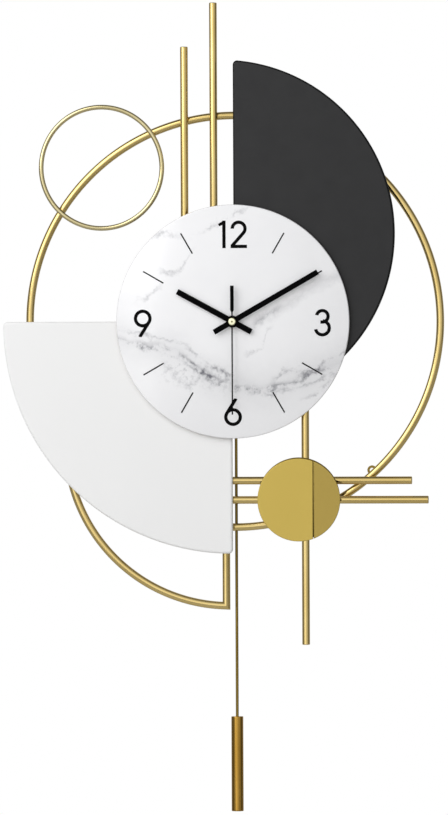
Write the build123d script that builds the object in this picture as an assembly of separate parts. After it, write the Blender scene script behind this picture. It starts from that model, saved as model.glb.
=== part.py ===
"""Pendulum wall clock: gilt rod frame, painted panels, marble-pattern dial, quartz movement and pendulum.

Every piece is drawn in the dial frame: X to the right, Y up, Z out of the wall towards the viewer,
with the origin on the wall behind the centre of the dial. write() then turns the piece into the
part's own frame: X to the right, Z up, the wall at y = 0 and the clock in front of it at negative y,
with the origin at the keyhole that hangs on the wall screw. Lengths are in millimetres.
"""

import math
import os

from build123d import *

# ---- whole clock ----
HANGER_ABOVE_DIAL = 56.0

# depths from the wall
RING_DEPTH = 20.0
ROD_DEPTH = 28.0
FRONT_ROD_DEPTH = 36.0
HUB_PLATE_BACK = 32.0
HUB_PLATE_THICKNESS = 2.0
PANEL_BACK = 34.0
PANEL_THICKNESS = 6.0
BOARD_BACK = 40.0
BOARD_THICKNESS = 3.0
FACE_BACK = BOARD_BACK + BOARD_THICKNESS
FACE_THICKNESS = 3.0
FACE_FRONT = FACE_BACK + FACE_THICKNESS
PRINT_THICKNESS = 0.2
PENDULUM_DEPTH = 10.0

# ---- gilt frame ----
TUBE_DIAMETER = 8.0
TUBE_RADIUS = TUBE_DIAMETER / 2
ROD_END_CHAMFER = 0.6
LARGE_RING_RADIUS = 212.6
SMALL_RING_RADIUS = 62.6
SMALL_RING_CENTRE = (-137.0, 159.2)
SMALL_TUBE_RADIUS = 2.5
QUADRANT_CENTRE = (-5.7, -125.1)
QUADRANT_RADIUS = 168.4
LEG_X = -9.1
LEG_TOP = -52.0
LONG_ROD_X = -20.6
LONG_ROD_SPAN = (40.0, 328.9)
SHORT_ROD_X = -50.8
SHORT_ROD_SPAN = (10.0, 283.6)
LOWER_ROD_X = 73.8
LOWER_ROD_SPAN = (-333.5, -78.0)
UPPER_CROSS_Y = -164.3
UPPER_CROSS_END = 183.4
LOWER_CROSS_Y = -184.3
LOWER_CROSS_END = 200.4

# ---- gold disc ----
DISC_CENTRE = (67.3, -182.7)
DISC_RADIUS = 42.7
DISC_SEAM_X = 82.1
DISC_SEAM_WIDTH = 0.7
DISC_BACKING_RADIUS = 42.5
DISC_BACKING_THICKNESS = 1.2
DISC_PLATE_THICKNESS = 2.0
DISC_EDGE_CHAMFER = 0.4

# ---- painted panels ----
PANEL_EDGE_RADIUS = 2.3
PANEL_CORNER_RADIUS = 4.5
PANEL_INNER_RADIUS = 42.0
FAN_RIGHT = -1.5
FAN_TOP = 0.2
FAN_ARC_CENTRE = (-2.0, -2.9)
FAN_ARC_RADIUS = 236.6
SHADE_LEFT = 0.5
SHADE_ARC_CENTRE = (-12.1, 90.6)
SHADE_ARC_RADIUS = 179.2

# ---- dial ----
DIAL_RADIUS = 120.5
BOARD_RADIUS = 118.5
FACE_BEVEL = 1.6
DIAL_HOLE_RADIUS = 4.15
TICK_INNER = 82.6
TICK_OUTER = 106.7
TICK_DROP = 1.4
TICK_WIDTH = 1.35
NUMERAL_HEIGHT = 28.3
NUMERAL_STROKE = 3.4
FLAG_REACH = 5.4
FLAG_DROP = 4.6
FLAG_STROKE = 3.0
TWO_HEAD_RADIUS = 6.6
TWO_TANGENT = -41.0
TWO_FOOT_LEFT = 8.3
TWO_FOOT_RIGHT = 8.6
THREE_UPPER_BOWL = 5.9
THREE_LOWER_BOWL = 7.1
THREE_SLANT = 10.6
THREE_SHIFT = -0.6
SIX_BOWL = 7.5
SIX_STEM_START = 152.0
SIX_STEM_TOP = 3.2
ONE_X = -8.6
TWO_X = 6.6
TWELVE_Y = 89.8
THREE_X = 93.3
NINE_X = -93.0
SIDE_NUMERAL_Y = -1.5
SIX_Y = -93.4

# ---- hands ----
HOUR_ANGLE = 151.4
MINUTE_ANGLE = 29.9
SECOND_ANGLE = -90.0
HOUR_HAND = dict(reach=64.9, tail=22.2, width=5.9)
MINUTE_HAND = dict(reach=101.9, tail=21.8, width=5.6)
HAND_THICKNESS = 0.6
HAND_HUB_RADIUS = 6.2
HOUR_HAND_DEPTH = 49.4
MINUTE_HAND_DEPTH = 51.4
SECOND_HAND_DEPTH = 53.2
SECOND_REACH = 95.8
SECOND_TAIL = 37.1
SECOND_WIDTH = 1.4
SECOND_TAIL_WIDTH = 3.7
SECOND_TAPER = (9.5, 12.0)
SECOND_BOSS_RADIUS = 3.0
SECOND_HAND_THICKNESS = 0.5
CAP_RADIUS = 3.9
CAP_HEIGHT = 1.5
CAP_ROUND = 0.9
CAP_DIMPLE_DEPTH = 0.4
CAP_SOCKET_DEPTH = 0.6

# ---- quartz movement ----
CASE_SIDE = 56.0
CASE_WALL = 1.2
CASE_CORNER = 4.0
CASE_FRONT = 39.5
CASE_BACK = 23.5
COLLAR_RADIUS = 3.2
BUSH_RADIUS = 4.0
BUSH_BORE = 2.58
BUSH_FRONT = 48.4
NUT_ACROSS_FLATS = 9.6
NUT_THICKNESS = 2.0
WASHER_RADIUS = 11.0
HOUR_TUBE = (1.58, 2.50)
MINUTE_TUBE = (0.68, 1.50)
SECOND_ARBOR = 0.60
ARBOR_RADIUS = 0.5
ARBOR_PLAY = 0.1
CELL_RADIUS = 7.2
CELL_LENGTH = 50.0
CELL_NUB_RADIUS = 2.6
CELL_NUB_LENGTH = 1.6
MOVEMENT_CELL_Y = -19.3
CONTACT_THICKNESS = 0.6
CONTACT_HALF_WIDTH = 4.0
BEARING_LAYER = (26.9, 27.5)
STATOR_LAYER = (25.9, 26.7)
COIL_Y = 22.5
COIL_DEPTH = 29.6
COIL_RADIUS = 2.5
COIL_LENGTH = 22.0
COIL_FLANGE_RADIUS = 2.8
COIL_FLANGE_THICKNESS = 1.2
BOARD_LAYER = (33.0, 34.0)
CRYSTAL_SPOT = (-20.5, 12.0, 35.1)
CRYSTAL_RADIUS = 1.1
CRYSTAL_LENGTH = 7.0

# teeth of the trains
CENTRE_TEETH, THIRD_PINION = 64, 8
THIRD_TEETH, SECOND_PINION = 60, 8
SECOND_TEETH, FOURTH_PINION = 40, 8
FOURTH_TEETH, ROTOR_PINION = 48, 8
CANNON_TEETH, MOTION_TEETH = 10, 30
MOTION_PINION, HOUR_TEETH = 8, 32
KNOB_TEETH = 10
GRIP_TEETH, GRIP_MODULE = 20, 0.46

# how far apart the arbors of the trains are, and in which direction
THIRD_DISTANCE, THIRD_DIRECTION = 10.2, 120.0
FOURTH_DISTANCE, FOURTH_DIRECTION = 9.6, 40.0
ROTOR_DISTANCE, ROTOR_DIRECTION = 7.0, 60.0
MOTION_DISTANCE, MOTION_DIRECTION = 8.0, 215.0
KNOB_DIRECTION = 187.0

# the back and front depth of each wheel and pinion
ROTOR_MAGNET_LAYER, ROTOR_PINION_LAYER = (25.8, 27.2), (27.2, 29.2)
FOURTH_WHEEL_LAYER, FOURTH_PINION_LAYER = (27.8, 28.6), (28.6, 30.8)
SECOND_WHEEL_LAYER, SECOND_PINION_LAYER = (29.6, 30.4), (30.4, 32.7)
THIRD_WHEEL_LAYER, THIRD_PINION_LAYER = (31.5, 32.3), (32.3, 34.8)
CENTRE_WHEEL_LAYER, CANNON_LAYER = (33.4, 34.4), (34.4, 36.4)
MOTION_WHEEL_LAYER, MOTION_PINION_LAYER = (35.2, 36.2), (36.2, 38.0)
HOUR_WHEEL_LAYER = (36.8, 37.8)
KNOB_LAYER, GRIP_LAYER = (35.1, 36.3), (20.4, 23.0)
ROTOR_MAGNET_RADIUS = 3.0
KNOB_STEM_RADIUS = 1.0

# ---- pendulum drive and pendulum ----
DRIVE_SIDE = 56.0
DRIVE_TOP = -32.0
DRIVE_BACK = 5.0
DRIVE_FRONT = 23.5
DRIVE_BOSS_RADIUS = 3.5
DRIVE_BOSS_X = 22.0
ARM_SLOT_HALF_WIDTH = 11.0
DRIVE_COIL_RADII = (1.6, 6.0)
DRIVE_COIL_BACK = 15.0
PIVOT_Y = -40.0
PIVOT_PIN_RADIUS = 1.0
PIVOT_BORE_RADIUS = 1.06
PIVOT_HUB_RADIUS = 2.4
PIVOT_HUB_REACH = 3.0
HOOK_Y = -96.0
HOOK_PIN_RADIUS = 1.2
HOOK_HEAD_RADIUS = 1.9
ARM_WIDTH = 5.0
ARM_BACK = 12.0
ARM_THICKNESS = 1.5
MAGNET_Y = -68.0
MAGNET_RADIUS = 4.0
MAGNET_THICKNESS = 2.5
PENDULUM_ROD_RADIUS = 1.5
ROD_LOOP_RADIUS = 3.0
BOB_RADIUS = 6.2
BOB_SPAN = (-506.8, -408.7)
BOB_CHAMFER = 0.5

# ---- fixings ----
HANGER_HALF_WIDTH = 14.0
HANGER_SPAN = (42.0, 80.0)
HANGER_SHEET = 1.6
KEYHOLE_RADIUS = 5.0
KEYHOLE_SLOT_WIDTH = 5.0
KEYHOLE_SLOT_LENGTH = 12.0
HUB_PLATE_RADIUS = 85.0
HUB_WINDOW = 58.6
EYELET_RADIAL = 209.0
EYELET_ANGLE = -47.5
EYELET_OUTER = 4.9
EYELET_HOLE = 2.4
EYELET_THICKNESS = 1.4
BUMPER_ANGLES = (50.0, 205.0, -72.0)
BUMPER_RADIUS = 6.0
POST_RADIUS = 4.0
STUB_RADIUS = 3.0
FAN_POST_ANGLES = (190.0, 225.0, 250.0)
SHADE_POST_ANGLES = (50.0, 76.0)
DIAL_POSTS = ((-58.0, 36.0), (-30.0, 62.0))
UPPER_STUB_X = 48.0
LOWER_STUB_X = 92.0
SCREW_SPOTS = ((-62.0, -24.0), (-42.0, -60.0), (62.0, 24.0), (56.0, 50.0))
SCREW_RADIUS = 1.5
SCREW_HEAD_RADIUS = 3.0
SCREW_HEAD_HEIGHT = 1.6
SCREW_SLOT = (3.2, 0.7, 1.4)
BEYOND = 99.0  # a depth past every piece, for cuts that go right through


# ---- drawing helpers, all in the dial frame ----

def polar(radius, degrees):
    """The point at a radius and an anticlockwise angle from three o'clock."""
    angle = math.radians(degrees)
    return radius * math.cos(angle), radius * math.sin(angle)


def plate(sketch, back, thickness):
    """A flat piece of a sketch, from its back depth towards the viewer."""
    return Pos(0, 0, back) * extrude(sketch, thickness, dir=(0, 0, 1))


def disc(radius, x, y, back, front):
    """A round bar along Z between two depths."""
    return Pos(x, y, (back + front) / 2) * Cylinder(radius, front - back)


def through(radius, x=0.0, y=0.0):
    """A round cutter along Z that goes right through the clock."""
    return disc(radius, x, y, -BEYOND, BEYOND)


def tube(inner, outer, x, y, back, front):
    """A sleeve along Z between two depths."""
    return disc(outer, x, y, back, front) - through(inner, x, y)


def block(x_span, y_span, z_span):
    """A box given by its span along each axis."""
    size = [high - low for low, high in (x_span, y_span, z_span)]
    middle = [(high + low) / 2 for low, high in (x_span, y_span, z_span)]
    return Pos(*middle) * Box(*size)


def upright(x, span, depth):
    """A round rod that stands up, with small chamfers on its two flat ends."""
    low, high = span
    rod = Cylinder(TUBE_RADIUS, high - low)
    rod = chamfer(rod.edges().filter_by(GeomType.CIRCLE), ROD_END_CHAMFER)
    return Pos(x, (low + high) / 2, depth) * Rot(90, 0, 0) * rod


def level(y, span, depth, chamfered):
    """A round rod that lies across, with a chamfer on its right end if that end is free."""
    low, high = span
    rod = Pos((low + high) / 2, y, depth) * Rot(0, 90, 0) * Cylinder(TUBE_RADIUS, high - low)
    if chamfered:
        rod = chamfer(rod.edges().filter_by(GeomType.CIRCLE).sort_by(Axis.X)[-1:], ROD_END_CHAMFER)
    return rod


def ring(centre, radius, tube_radius, depth):
    """A closed round ring of round bar."""
    return Pos(*centre, depth) * Torus(radius, tube_radius)


def write(name, *solids):
    """Turn a piece into the part's frame and write its STEP file."""
    drop = Pos(0, -HANGER_ABOVE_DIAL, 0)
    placed = [Plane.XZ.location * drop * solid for solid in solids]
    whole = [one for shape in placed for one in shape.solids()]
    shape = whole[0] if len(whole) == 1 else Compound(children=whole)
    shape.label = name
    export_step(shape, f"parts/{name}.step")


# ---- gilt frame ----

def build_rods():
    """The rings, the quarter frame, the upright rods and the cross rods."""
    big_ring = ring((0, 0), LARGE_RING_RADIUS, TUBE_RADIUS, RING_DEPTH)
    write("large_ring", big_ring)
    write("small_ring", ring(SMALL_RING_CENTRE, SMALL_RING_RADIUS, SMALL_TUBE_RADIUS,
                             RING_DEPTH + TUBE_RADIUS + SMALL_TUBE_RADIUS))
    write("long_rod", upright(LONG_ROD_X, LONG_ROD_SPAN, ROD_DEPTH))
    write("short_rod", upright(SHORT_ROD_X, SHORT_ROD_SPAN, ROD_DEPTH))
    write("lower_rod", upright(LOWER_ROD_X, LOWER_ROD_SPAN, FRONT_ROD_DEPTH))
    cross_start = LEG_X + TUBE_RADIUS
    write("upper_cross_rod", level(UPPER_CROSS_Y, (cross_start, UPPER_CROSS_END), ROD_DEPTH, True))
    write("lower_cross_rod", level(LOWER_CROSS_Y, (cross_start, LOWER_CROSS_END), ROD_DEPTH, True))
    return big_ring


def build_quadrant():
    """The quarter-circle frame: a bent arc, an upright leg and a level bar, mitred and butted."""
    centre_x, centre_y = QUADRANT_CENTRE
    bottom = centre_y - QUADRANT_RADIUS
    overrun = math.degrees(2 * TUBE_DIAMETER / QUADRANT_RADIUS)
    bend = Pos(centre_x, centre_y, ROD_DEPTH) * Rot(0, 0, 180) * Torus(
        QUADRANT_RADIUS, TUBE_RADIUS, major_angle=90 + overrun, align=None)
    inner_corner = (LEG_X - TUBE_DIAMETER, bottom + TUBE_DIAMETER)
    outer_corner = (LEG_X + TUBE_DIAMETER, bottom - TUBE_DIAMETER)
    far_right = LEG_X + 4 * TUBE_DIAMETER
    leg_side = Polygon(inner_corner, outer_corner, (far_right, outer_corner[1]),
                       (far_right, inner_corner[1]), align=None)
    arc_side = Polygon(inner_corner, outer_corner, (inner_corner[0], outer_corner[1]), align=None)
    arc = bend - plate(leg_side, 0, 2 * ROD_DEPTH)
    leg_low = bottom - TUBE_DIAMETER
    leg_middle = (LEG_TOP + leg_low) / 2
    leg = Pos(LEG_X, leg_middle, ROD_DEPTH) * Rot(90, 0, 0) * Cylinder(TUBE_RADIUS, LEG_TOP - leg_low)
    leg = leg - plate(arc_side, 0, 2 * ROD_DEPTH)
    bar_left = centre_x - QUADRANT_RADIUS + TUBE_RADIUS
    bar = level(centre_y - TUBE_RADIUS, (bar_left, LEG_X - TUBE_RADIUS), ROD_DEPTH, False)
    write("quadrant_arc", arc)
    write("quadrant_leg", leg)
    write("quadrant_bar", bar)


def build_gold_disc():
    """A round backing plate on the lower rod, with a wide and a narrow face plate over it."""
    x, y = DISC_CENTRE
    backing_front = BOARD_BACK + DISC_BACKING_THICKNESS
    front = backing_front + DISC_PLATE_THICKNESS
    whole = disc(DISC_RADIUS, x, y, backing_front, front)
    rim = whole.faces().sort_by(Axis.Z)[-1].edges()
    whole = chamfer(rim, DISC_EDGE_CHAMFER)
    half_seam = DISC_SEAM_WIDTH / 2
    level_span = (y - 2 * DISC_RADIUS, y + 2 * DISC_RADIUS)
    left_side = block((x - 2 * DISC_RADIUS, DISC_SEAM_X - half_seam), level_span, (0, BEYOND))
    right_side = block((DISC_SEAM_X + half_seam, x + 2 * DISC_RADIUS), level_span, (0, BEYOND))
    write("gold_disc_backing", disc(DISC_BACKING_RADIUS, x, y, BOARD_BACK, backing_front))
    write("gold_disc_left", whole & left_side)
    write("gold_disc_right", whole & right_side)


# ---- painted panels ----

def panel(outline):
    """A panel of a sketch, with rounded corners, a rounded front rim and a round notch at the hub."""
    outline = fillet(outline.vertices(), PANEL_CORNER_RADIUS)
    slab = plate(outline, PANEL_BACK, PANEL_THICKNESS)
    front = slab.faces().sort_by(Axis.Z)[-1]
    slab = fillet(front.edges(), PANEL_EDGE_RADIUS)
    return slab - through(PANEL_INNER_RADIUS)


def build_panels():
    """The white quarter fan and the dark round-backed shade."""
    reach = 2 * FAN_ARC_RADIUS
    fan_box = Pos(FAN_RIGHT - reach / 2, FAN_TOP - reach / 2) * Rectangle(reach, reach)
    fan = Pos(*FAN_ARC_CENTRE) * Circle(FAN_ARC_RADIUS) & fan_box
    shade_box = Pos(SHADE_LEFT + reach / 2, 0) * Rectangle(reach, 2 * reach)
    shade = Pos(*SHADE_ARC_CENTRE) * Circle(SHADE_ARC_RADIUS) & shade_box
    write("white_panel", panel(fan))
    write("black_panel", panel(shade))


# ---- dial ----

def bar_stroke(start, end, width=NUMERAL_STROKE):
    """A straight stroke with square ends."""
    length = math.dist(start, end)
    angle = math.degrees(math.atan2(end[1] - start[1], end[0] - start[0]))
    middle = Pos((start[0] + end[0]) / 2, (start[1] + end[1]) / 2)
    return middle * Rot(0, 0, angle) * Rectangle(length, width)


def round_stroke(x, y, radius, cut=None):
    """A full circle stroke, or the part of it inside a cutting sketch."""
    half = NUMERAL_STROKE / 2
    loop = Pos(x, y) * (Circle(radius + half) - Circle(radius - half))
    return loop & cut if cut else loop


def figure_one():
    """A plain upright with a short flag."""
    half = NUMERAL_HEIGHT / 2
    stem = bar_stroke((0, -half), (0, half))
    flag = bar_stroke((-FLAG_REACH, half - FLAG_DROP), (0.6, half - 1.3), FLAG_STROKE)
    return stem + flag


def figure_two():
    """A round head, a straight diagonal and a level foot."""
    half = NUMERAL_HEIGHT / 2
    head_y = half - TWO_HEAD_RADIUS - NUMERAL_STROKE / 2
    far = 2 * NUMERAL_HEIGHT
    end_y = head_y + far * math.tan(math.radians(TWO_TANGENT - 2))
    sector = Polygon((0, head_y), (-far, head_y), (-far, far), (far, far), (far, end_y), align=None)
    head = round_stroke(0, head_y, TWO_HEAD_RADIUS, sector)
    start = polar(TWO_HEAD_RADIUS, TWO_TANGENT)
    foot_y = -half + NUMERAL_STROKE / 2
    diagonal = bar_stroke((start[0], start[1] + head_y), (-TWO_FOOT_LEFT + 1.4, foot_y + 0.5))
    foot = bar_stroke((-TWO_FOOT_LEFT, foot_y), (TWO_FOOT_RIGHT, foot_y))
    return head + diagonal + foot


def figure_three():
    """Two round bowls, open to the left."""
    half = NUMERAL_HEIGHT / 2
    upper_y = half - THREE_UPPER_BOWL - NUMERAL_STROKE / 2
    lower_y = -half + THREE_LOWER_BOWL + NUMERAL_STROKE / 2
    far = 2 * NUMERAL_HEIGHT
    upper_cut = Polygon((0, upper_y), (-far, upper_y + THREE_SLANT), (-far, far), (far, far), (far, -far),
                        (0, -far), align=None)
    lower_cut = Polygon((0, lower_y), (-far, lower_y - THREE_SLANT), (-far, -far), (far, -far), (far, far),
                        (0, far), align=None)
    waist_y = upper_y - THREE_UPPER_BOWL
    join = bar_stroke((-2.0 + THREE_SHIFT, waist_y), (-THREE_SHIFT, waist_y))
    upper = round_stroke(THREE_SHIFT, upper_y, THREE_UPPER_BOWL, upper_cut)
    lower = round_stroke(THREE_SHIFT, lower_y, THREE_LOWER_BOWL, lower_cut)
    return upper + lower + join


def figure_six():
    """A round bowl with a straight slanting stem."""
    half = NUMERAL_HEIGHT / 2
    bowl_y = -half + SIX_BOWL + NUMERAL_STROKE / 2
    side = polar(SIX_BOWL, SIX_STEM_START)
    stem = bar_stroke((side[0], side[1] + bowl_y), (SIX_STEM_TOP, half))
    trim = Rectangle(2 * NUMERAL_HEIGHT, NUMERAL_HEIGHT)
    return round_stroke(0, bowl_y, SIX_BOWL) + (stem & trim)


def build_dial():
    """The backing board, the bevelled face, and the printed figures and hour marks on it."""
    write("dial_board", tube(DIAL_HOLE_RADIUS, BOARD_RADIUS, 0, 0, BOARD_BACK, FACE_BACK))
    face = disc(DIAL_RADIUS, 0, 0, FACE_BACK, FACE_FRONT)
    rim = face.faces().sort_by(Axis.Z)[-1].edges()
    write("dial_face", chamfer(rim, FACE_BEVEL) - through(DIAL_HOLE_RADIUS))
    six = figure_six()
    figures = [Pos(ONE_X, TWELVE_Y) * figure_one(), Pos(TWO_X, TWELVE_Y) * figure_two(),
               Pos(THREE_X, SIDE_NUMERAL_Y) * figure_three(), Pos(0, SIX_Y) * six,
               Pos(NINE_X, SIDE_NUMERAL_Y) * Rot(0, 0, 180) * six]
    write("numerals", *[plate(figure, FACE_FRONT, PRINT_THICKNESS) for figure in figures])
    hours = [hour for hour in range(12) if hour % 3]
    marks = [bar_stroke(polar(TICK_INNER, 30 * hour), polar(TICK_OUTER, 30 * hour), TICK_WIDTH)
             for hour in hours]
    write("hour_marks", *[plate(Pos(0, -TICK_DROP) * mark, FACE_FRONT, PRINT_THICKNESS) for mark in marks])


# ---- hands ----

def hand(reach, tail, width, depth, angle, bore):
    """A flat bar hand with a round hub pressed onto its tube."""
    bar = Pos((reach - tail) / 2, 0) * Rectangle(reach + tail, width)
    blade = plate(bar, depth, HAND_THICKNESS)
    hub = disc(HAND_HUB_RADIUS, 0, 0, depth - HAND_THICKNESS, depth + HAND_THICKNESS)
    return Rot(0, 0, angle) * (blade + hub - through(bore))


def build_hands():
    """Hour, minute and second hands, and the pale cap at the centre."""
    write("hour_hand", hand(depth=HOUR_HAND_DEPTH, angle=HOUR_ANGLE, bore=HOUR_TUBE[1], **HOUR_HAND))
    write("minute_hand", hand(depth=MINUTE_HAND_DEPTH, angle=MINUTE_ANGLE, bore=MINUTE_TUBE[1],
                              **MINUTE_HAND))
    half, wide = SECOND_WIDTH / 2, SECOND_TAIL_WIDTH / 2
    narrow_end, wide_start = SECOND_TAPER
    outline = Polygon((SECOND_REACH, -half), (SECOND_REACH, half), (-narrow_end, half), (-wide_start, wide),
                      (-SECOND_TAIL, wide), (-SECOND_TAIL, -wide), (-wide_start, -wide),
                      (-narrow_end, -half), align=None)
    needle = plate(outline + Circle(SECOND_BOSS_RADIUS), SECOND_HAND_DEPTH, SECOND_HAND_THICKNESS)
    write("second_hand", Rot(0, 0, SECOND_ANGLE) * (needle - through(SECOND_ARBOR)))
    base = SECOND_HAND_DEPTH + SECOND_HAND_THICKNESS
    cap = disc(CAP_RADIUS, 0, 0, base, base + CAP_HEIGHT)
    cap = fillet(cap.faces().sort_by(Axis.Z)[-1].edges(), CAP_ROUND)
    dimple = disc(CAP_ROUND, 0, 0, base + CAP_HEIGHT - CAP_DIMPLE_DEPTH, BEYOND)
    socket = disc(SECOND_ARBOR, 0, 0, 0, base + CAP_SOCKET_DEPTH)
    write("centre_cap", cap - dimple - socket)


# ---- gear train ----

def gear(teeth, module, phase, layer):
    """A spur gear with straight-flanked, slim teeth; one tooth points at the phase angle."""
    back, front = layer
    pitch_radius = teeth * module / 2
    tip, root = pitch_radius + 0.8 * module, pitch_radius - 1.15 * module
    profile = ((root, -0.25), (pitch_radius, -0.18), (tip, -0.07),
               (tip, 0.07), (pitch_radius, 0.18), (root, 0.25))
    step = 360 / teeth
    points = [polar(radius, phase + (index + share) * step) for index in range(teeth)
              for radius, share in profile]
    return plate(Polygon(*points, align=None), back, front - back)


def mesh_phase(phase, teeth, mate_teeth, direction):
    """The phase of a mate that lies in a direction, so that its gaps meet this gear's teeth."""
    ahead = (direction - phase) % (360 / teeth)
    return direction + 180 + 180 / mate_teeth + ahead * teeth / mate_teeth


def spoked(wheel, inner, outer):
    """Lighten a wheel with four round windows."""
    middle = (inner + outer) / 2
    width = (outer - inner) / 2
    for index in range(4):
        wheel = wheel - through(width, *polar(middle, 45 + 90 * index))
    return wheel


def arbor_spots():
    """Where each arbor off the centre stands."""
    third = polar(THIRD_DISTANCE, THIRD_DIRECTION)
    fourth = polar(FOURTH_DISTANCE, FOURTH_DIRECTION)
    step = polar(ROTOR_DISTANCE, ROTOR_DIRECTION)
    motion = polar(MOTION_DISTANCE, MOTION_DIRECTION)
    side = polar(MOTION_DISTANCE, KNOB_DIRECTION)
    return {"third": third, "fourth": fourth, "rotor": (fourth[0] + step[0], fourth[1] + step[1]),
            "motion": motion, "knob": (motion[0] + side[0], motion[1] + side[1])}


THIRD_MODULE = 2 * THIRD_DISTANCE / (CENTRE_TEETH + THIRD_PINION)
SECONDS_MODULE = 2 * THIRD_DISTANCE / (THIRD_TEETH + SECOND_PINION)
FOURTH_MODULE = 2 * FOURTH_DISTANCE / (SECOND_TEETH + FOURTH_PINION)
ROTOR_MODULE = 2 * ROTOR_DISTANCE / (FOURTH_TEETH + ROTOR_PINION)
MOTION_MODULE = 2 * MOTION_DISTANCE / (CANNON_TEETH + MOTION_TEETH)


def build_hand_wheels(spots):
    """The wheels on the three hand arbors, and the motion wheel between the minute and hour wheels."""
    bore, outside = MINUTE_TUBE
    back, front = CENTRE_WHEEL_LAYER[0] - 0.4, MINUTE_HAND_DEPTH + HAND_THICKNESS
    centre_wheel = spoked(gear(CENTRE_TEETH, THIRD_MODULE, 0, CENTRE_WHEEL_LAYER), 2.6, 7.6)
    minute = disc(outside, 0, 0, back, front) + centre_wheel
    minute = minute + gear(CANNON_TEETH, MOTION_MODULE, 0, CANNON_LAYER)
    write("minute_wheel", minute - through(bore))

    bore, outside = HOUR_TUBE
    back, front = HOUR_WHEEL_LAYER[0] - 0.1, HOUR_HAND_DEPTH + HAND_THICKNESS
    hour_phase = mesh_phase(0, MOTION_PINION, HOUR_TEETH, MOTION_DIRECTION + 180)
    hour = disc(outside, 0, 0, back, front) + gear(HOUR_TEETH, MOTION_MODULE, hour_phase, HOUR_WHEEL_LAYER)
    write("hour_wheel", hour - through(bore))

    phase = mesh_phase(0, THIRD_TEETH, SECOND_PINION, THIRD_DIRECTION + 180)
    second_wheel = spoked(gear(SECOND_TEETH, FOURTH_MODULE, 0, SECOND_WHEEL_LAYER), 2.0, 6.8)
    seconds = disc(SECOND_ARBOR, 0, 0, 26.0, SECOND_HAND_DEPTH + 1.1) + second_wheel
    write("seconds_wheel", seconds + gear(SECOND_PINION, SECONDS_MODULE, phase, SECOND_PINION_LAYER))

    spot = spots["motion"]
    motion_phase = mesh_phase(0, CANNON_TEETH, MOTION_TEETH, MOTION_DIRECTION)
    teeth = gear(MOTION_TEETH, MOTION_MODULE, motion_phase, MOTION_WHEEL_LAYER)
    teeth = teeth + gear(MOTION_PINION, MOTION_MODULE, 0, MOTION_PINION_LAYER)
    write("motion_wheel", disc(ARBOR_RADIUS, *spot, 34.9, 38.2) + Pos(*spot) * teeth)

    knob_phase = mesh_phase(motion_phase, MOTION_TEETH, KNOB_TEETH, KNOB_DIRECTION)
    teeth = gear(KNOB_TEETH, MOTION_MODULE, knob_phase, KNOB_LAYER)
    teeth = teeth + gear(GRIP_TEETH, GRIP_MODULE, 0, GRIP_LAYER)
    stem = disc(KNOB_STEM_RADIUS, *spots["knob"], 21.0, 36.6)
    write("setting_knob", stem + Pos(*spots["knob"]) * teeth)


def build_step_train(spots):
    """The third and fourth wheels and the rotor that steps them."""
    phase = mesh_phase(0, CENTRE_TEETH, THIRD_PINION, THIRD_DIRECTION)
    teeth = spoked(gear(THIRD_TEETH, SECONDS_MODULE, 0, THIRD_WHEEL_LAYER), 2.2, 7.8)
    teeth = teeth + gear(THIRD_PINION, THIRD_MODULE, phase, THIRD_PINION_LAYER)
    spot = spots["third"]
    write("third_wheel", disc(ARBOR_RADIUS, *spot, 30.9, 36.0) + Pos(*spot) * teeth)

    phase = mesh_phase(0, SECOND_TEETH, FOURTH_PINION, FOURTH_DIRECTION)
    teeth = gear(FOURTH_TEETH, ROTOR_MODULE, 0, FOURTH_WHEEL_LAYER)
    teeth = teeth + gear(FOURTH_PINION, FOURTH_MODULE, phase, FOURTH_PINION_LAYER)
    spot = spots["fourth"]
    write("fourth_wheel", disc(ARBOR_RADIUS, *spot, 26.0, 31.2) + Pos(*spot) * teeth)

    spot = spots["rotor"]
    phase = mesh_phase(0, FOURTH_TEETH, ROTOR_PINION, ROTOR_DIRECTION)
    magnet = disc(ROTOR_MAGNET_RADIUS, *spot, *ROTOR_MAGNET_LAYER) + disc(ARBOR_RADIUS, *spot, 25.2, 30.0)
    write("rotor", magnet + Pos(*spot) * gear(ROTOR_PINION, ROTOR_MODULE, phase, ROTOR_PINION_LAYER))


# ---- quartz movement ----

def case_outline(side, middle_y):
    """The outer and the inner outline of a square case with rounded corners."""
    inner_side = side - 2 * CASE_WALL
    place = Pos(0, middle_y)
    return (place * RectangleRounded(side, side, CASE_CORNER),
            place * RectangleRounded(inner_side, inner_side, CASE_CORNER - CASE_WALL))


def build_case(knob):
    """The movement's case, its cover, and the bush, nut and washer that clamp the dial."""
    outline, inside = case_outline(CASE_SIDE, 0)
    cover_front = CASE_BACK + CASE_WALL
    shell = plate(outline, cover_front, CASE_FRONT - cover_front)
    shell = shell - plate(inside, cover_front, CASE_FRONT - CASE_WALL - cover_front)
    write("movement_case", shell - through(COLLAR_RADIUS))
    half_inside = CASE_SIDE / 2 - 2 * CASE_WALL
    bay = block((-half_inside, half_inside), (MOVEMENT_CELL_Y - 7.6, MOVEMENT_CELL_Y + 7.6), (0, BEYOND))
    cover = plate(outline, CASE_BACK, CASE_WALL) - bay
    write("movement_cover", cover - through(KNOB_STEM_RADIUS + 0.6, *knob))
    collar = tube(BUSH_BORE, COLLAR_RADIUS, 0, 0, CASE_FRONT - CASE_WALL, CASE_FRONT)
    write("threaded_bush", collar + tube(BUSH_BORE, BUSH_RADIUS, 0, 0, CASE_FRONT, BUSH_FRONT))
    nut = plate(RegularPolygon(NUT_ACROSS_FLATS / 2, 6, major_radius=False), FACE_FRONT, NUT_THICKNESS)
    write("hex_nut", nut - through(BUSH_RADIUS))
    write("rubber_washer", tube(BUSH_RADIUS, WASHER_RADIUS, 0, 0, CASE_FRONT, BOARD_BACK))


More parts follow.
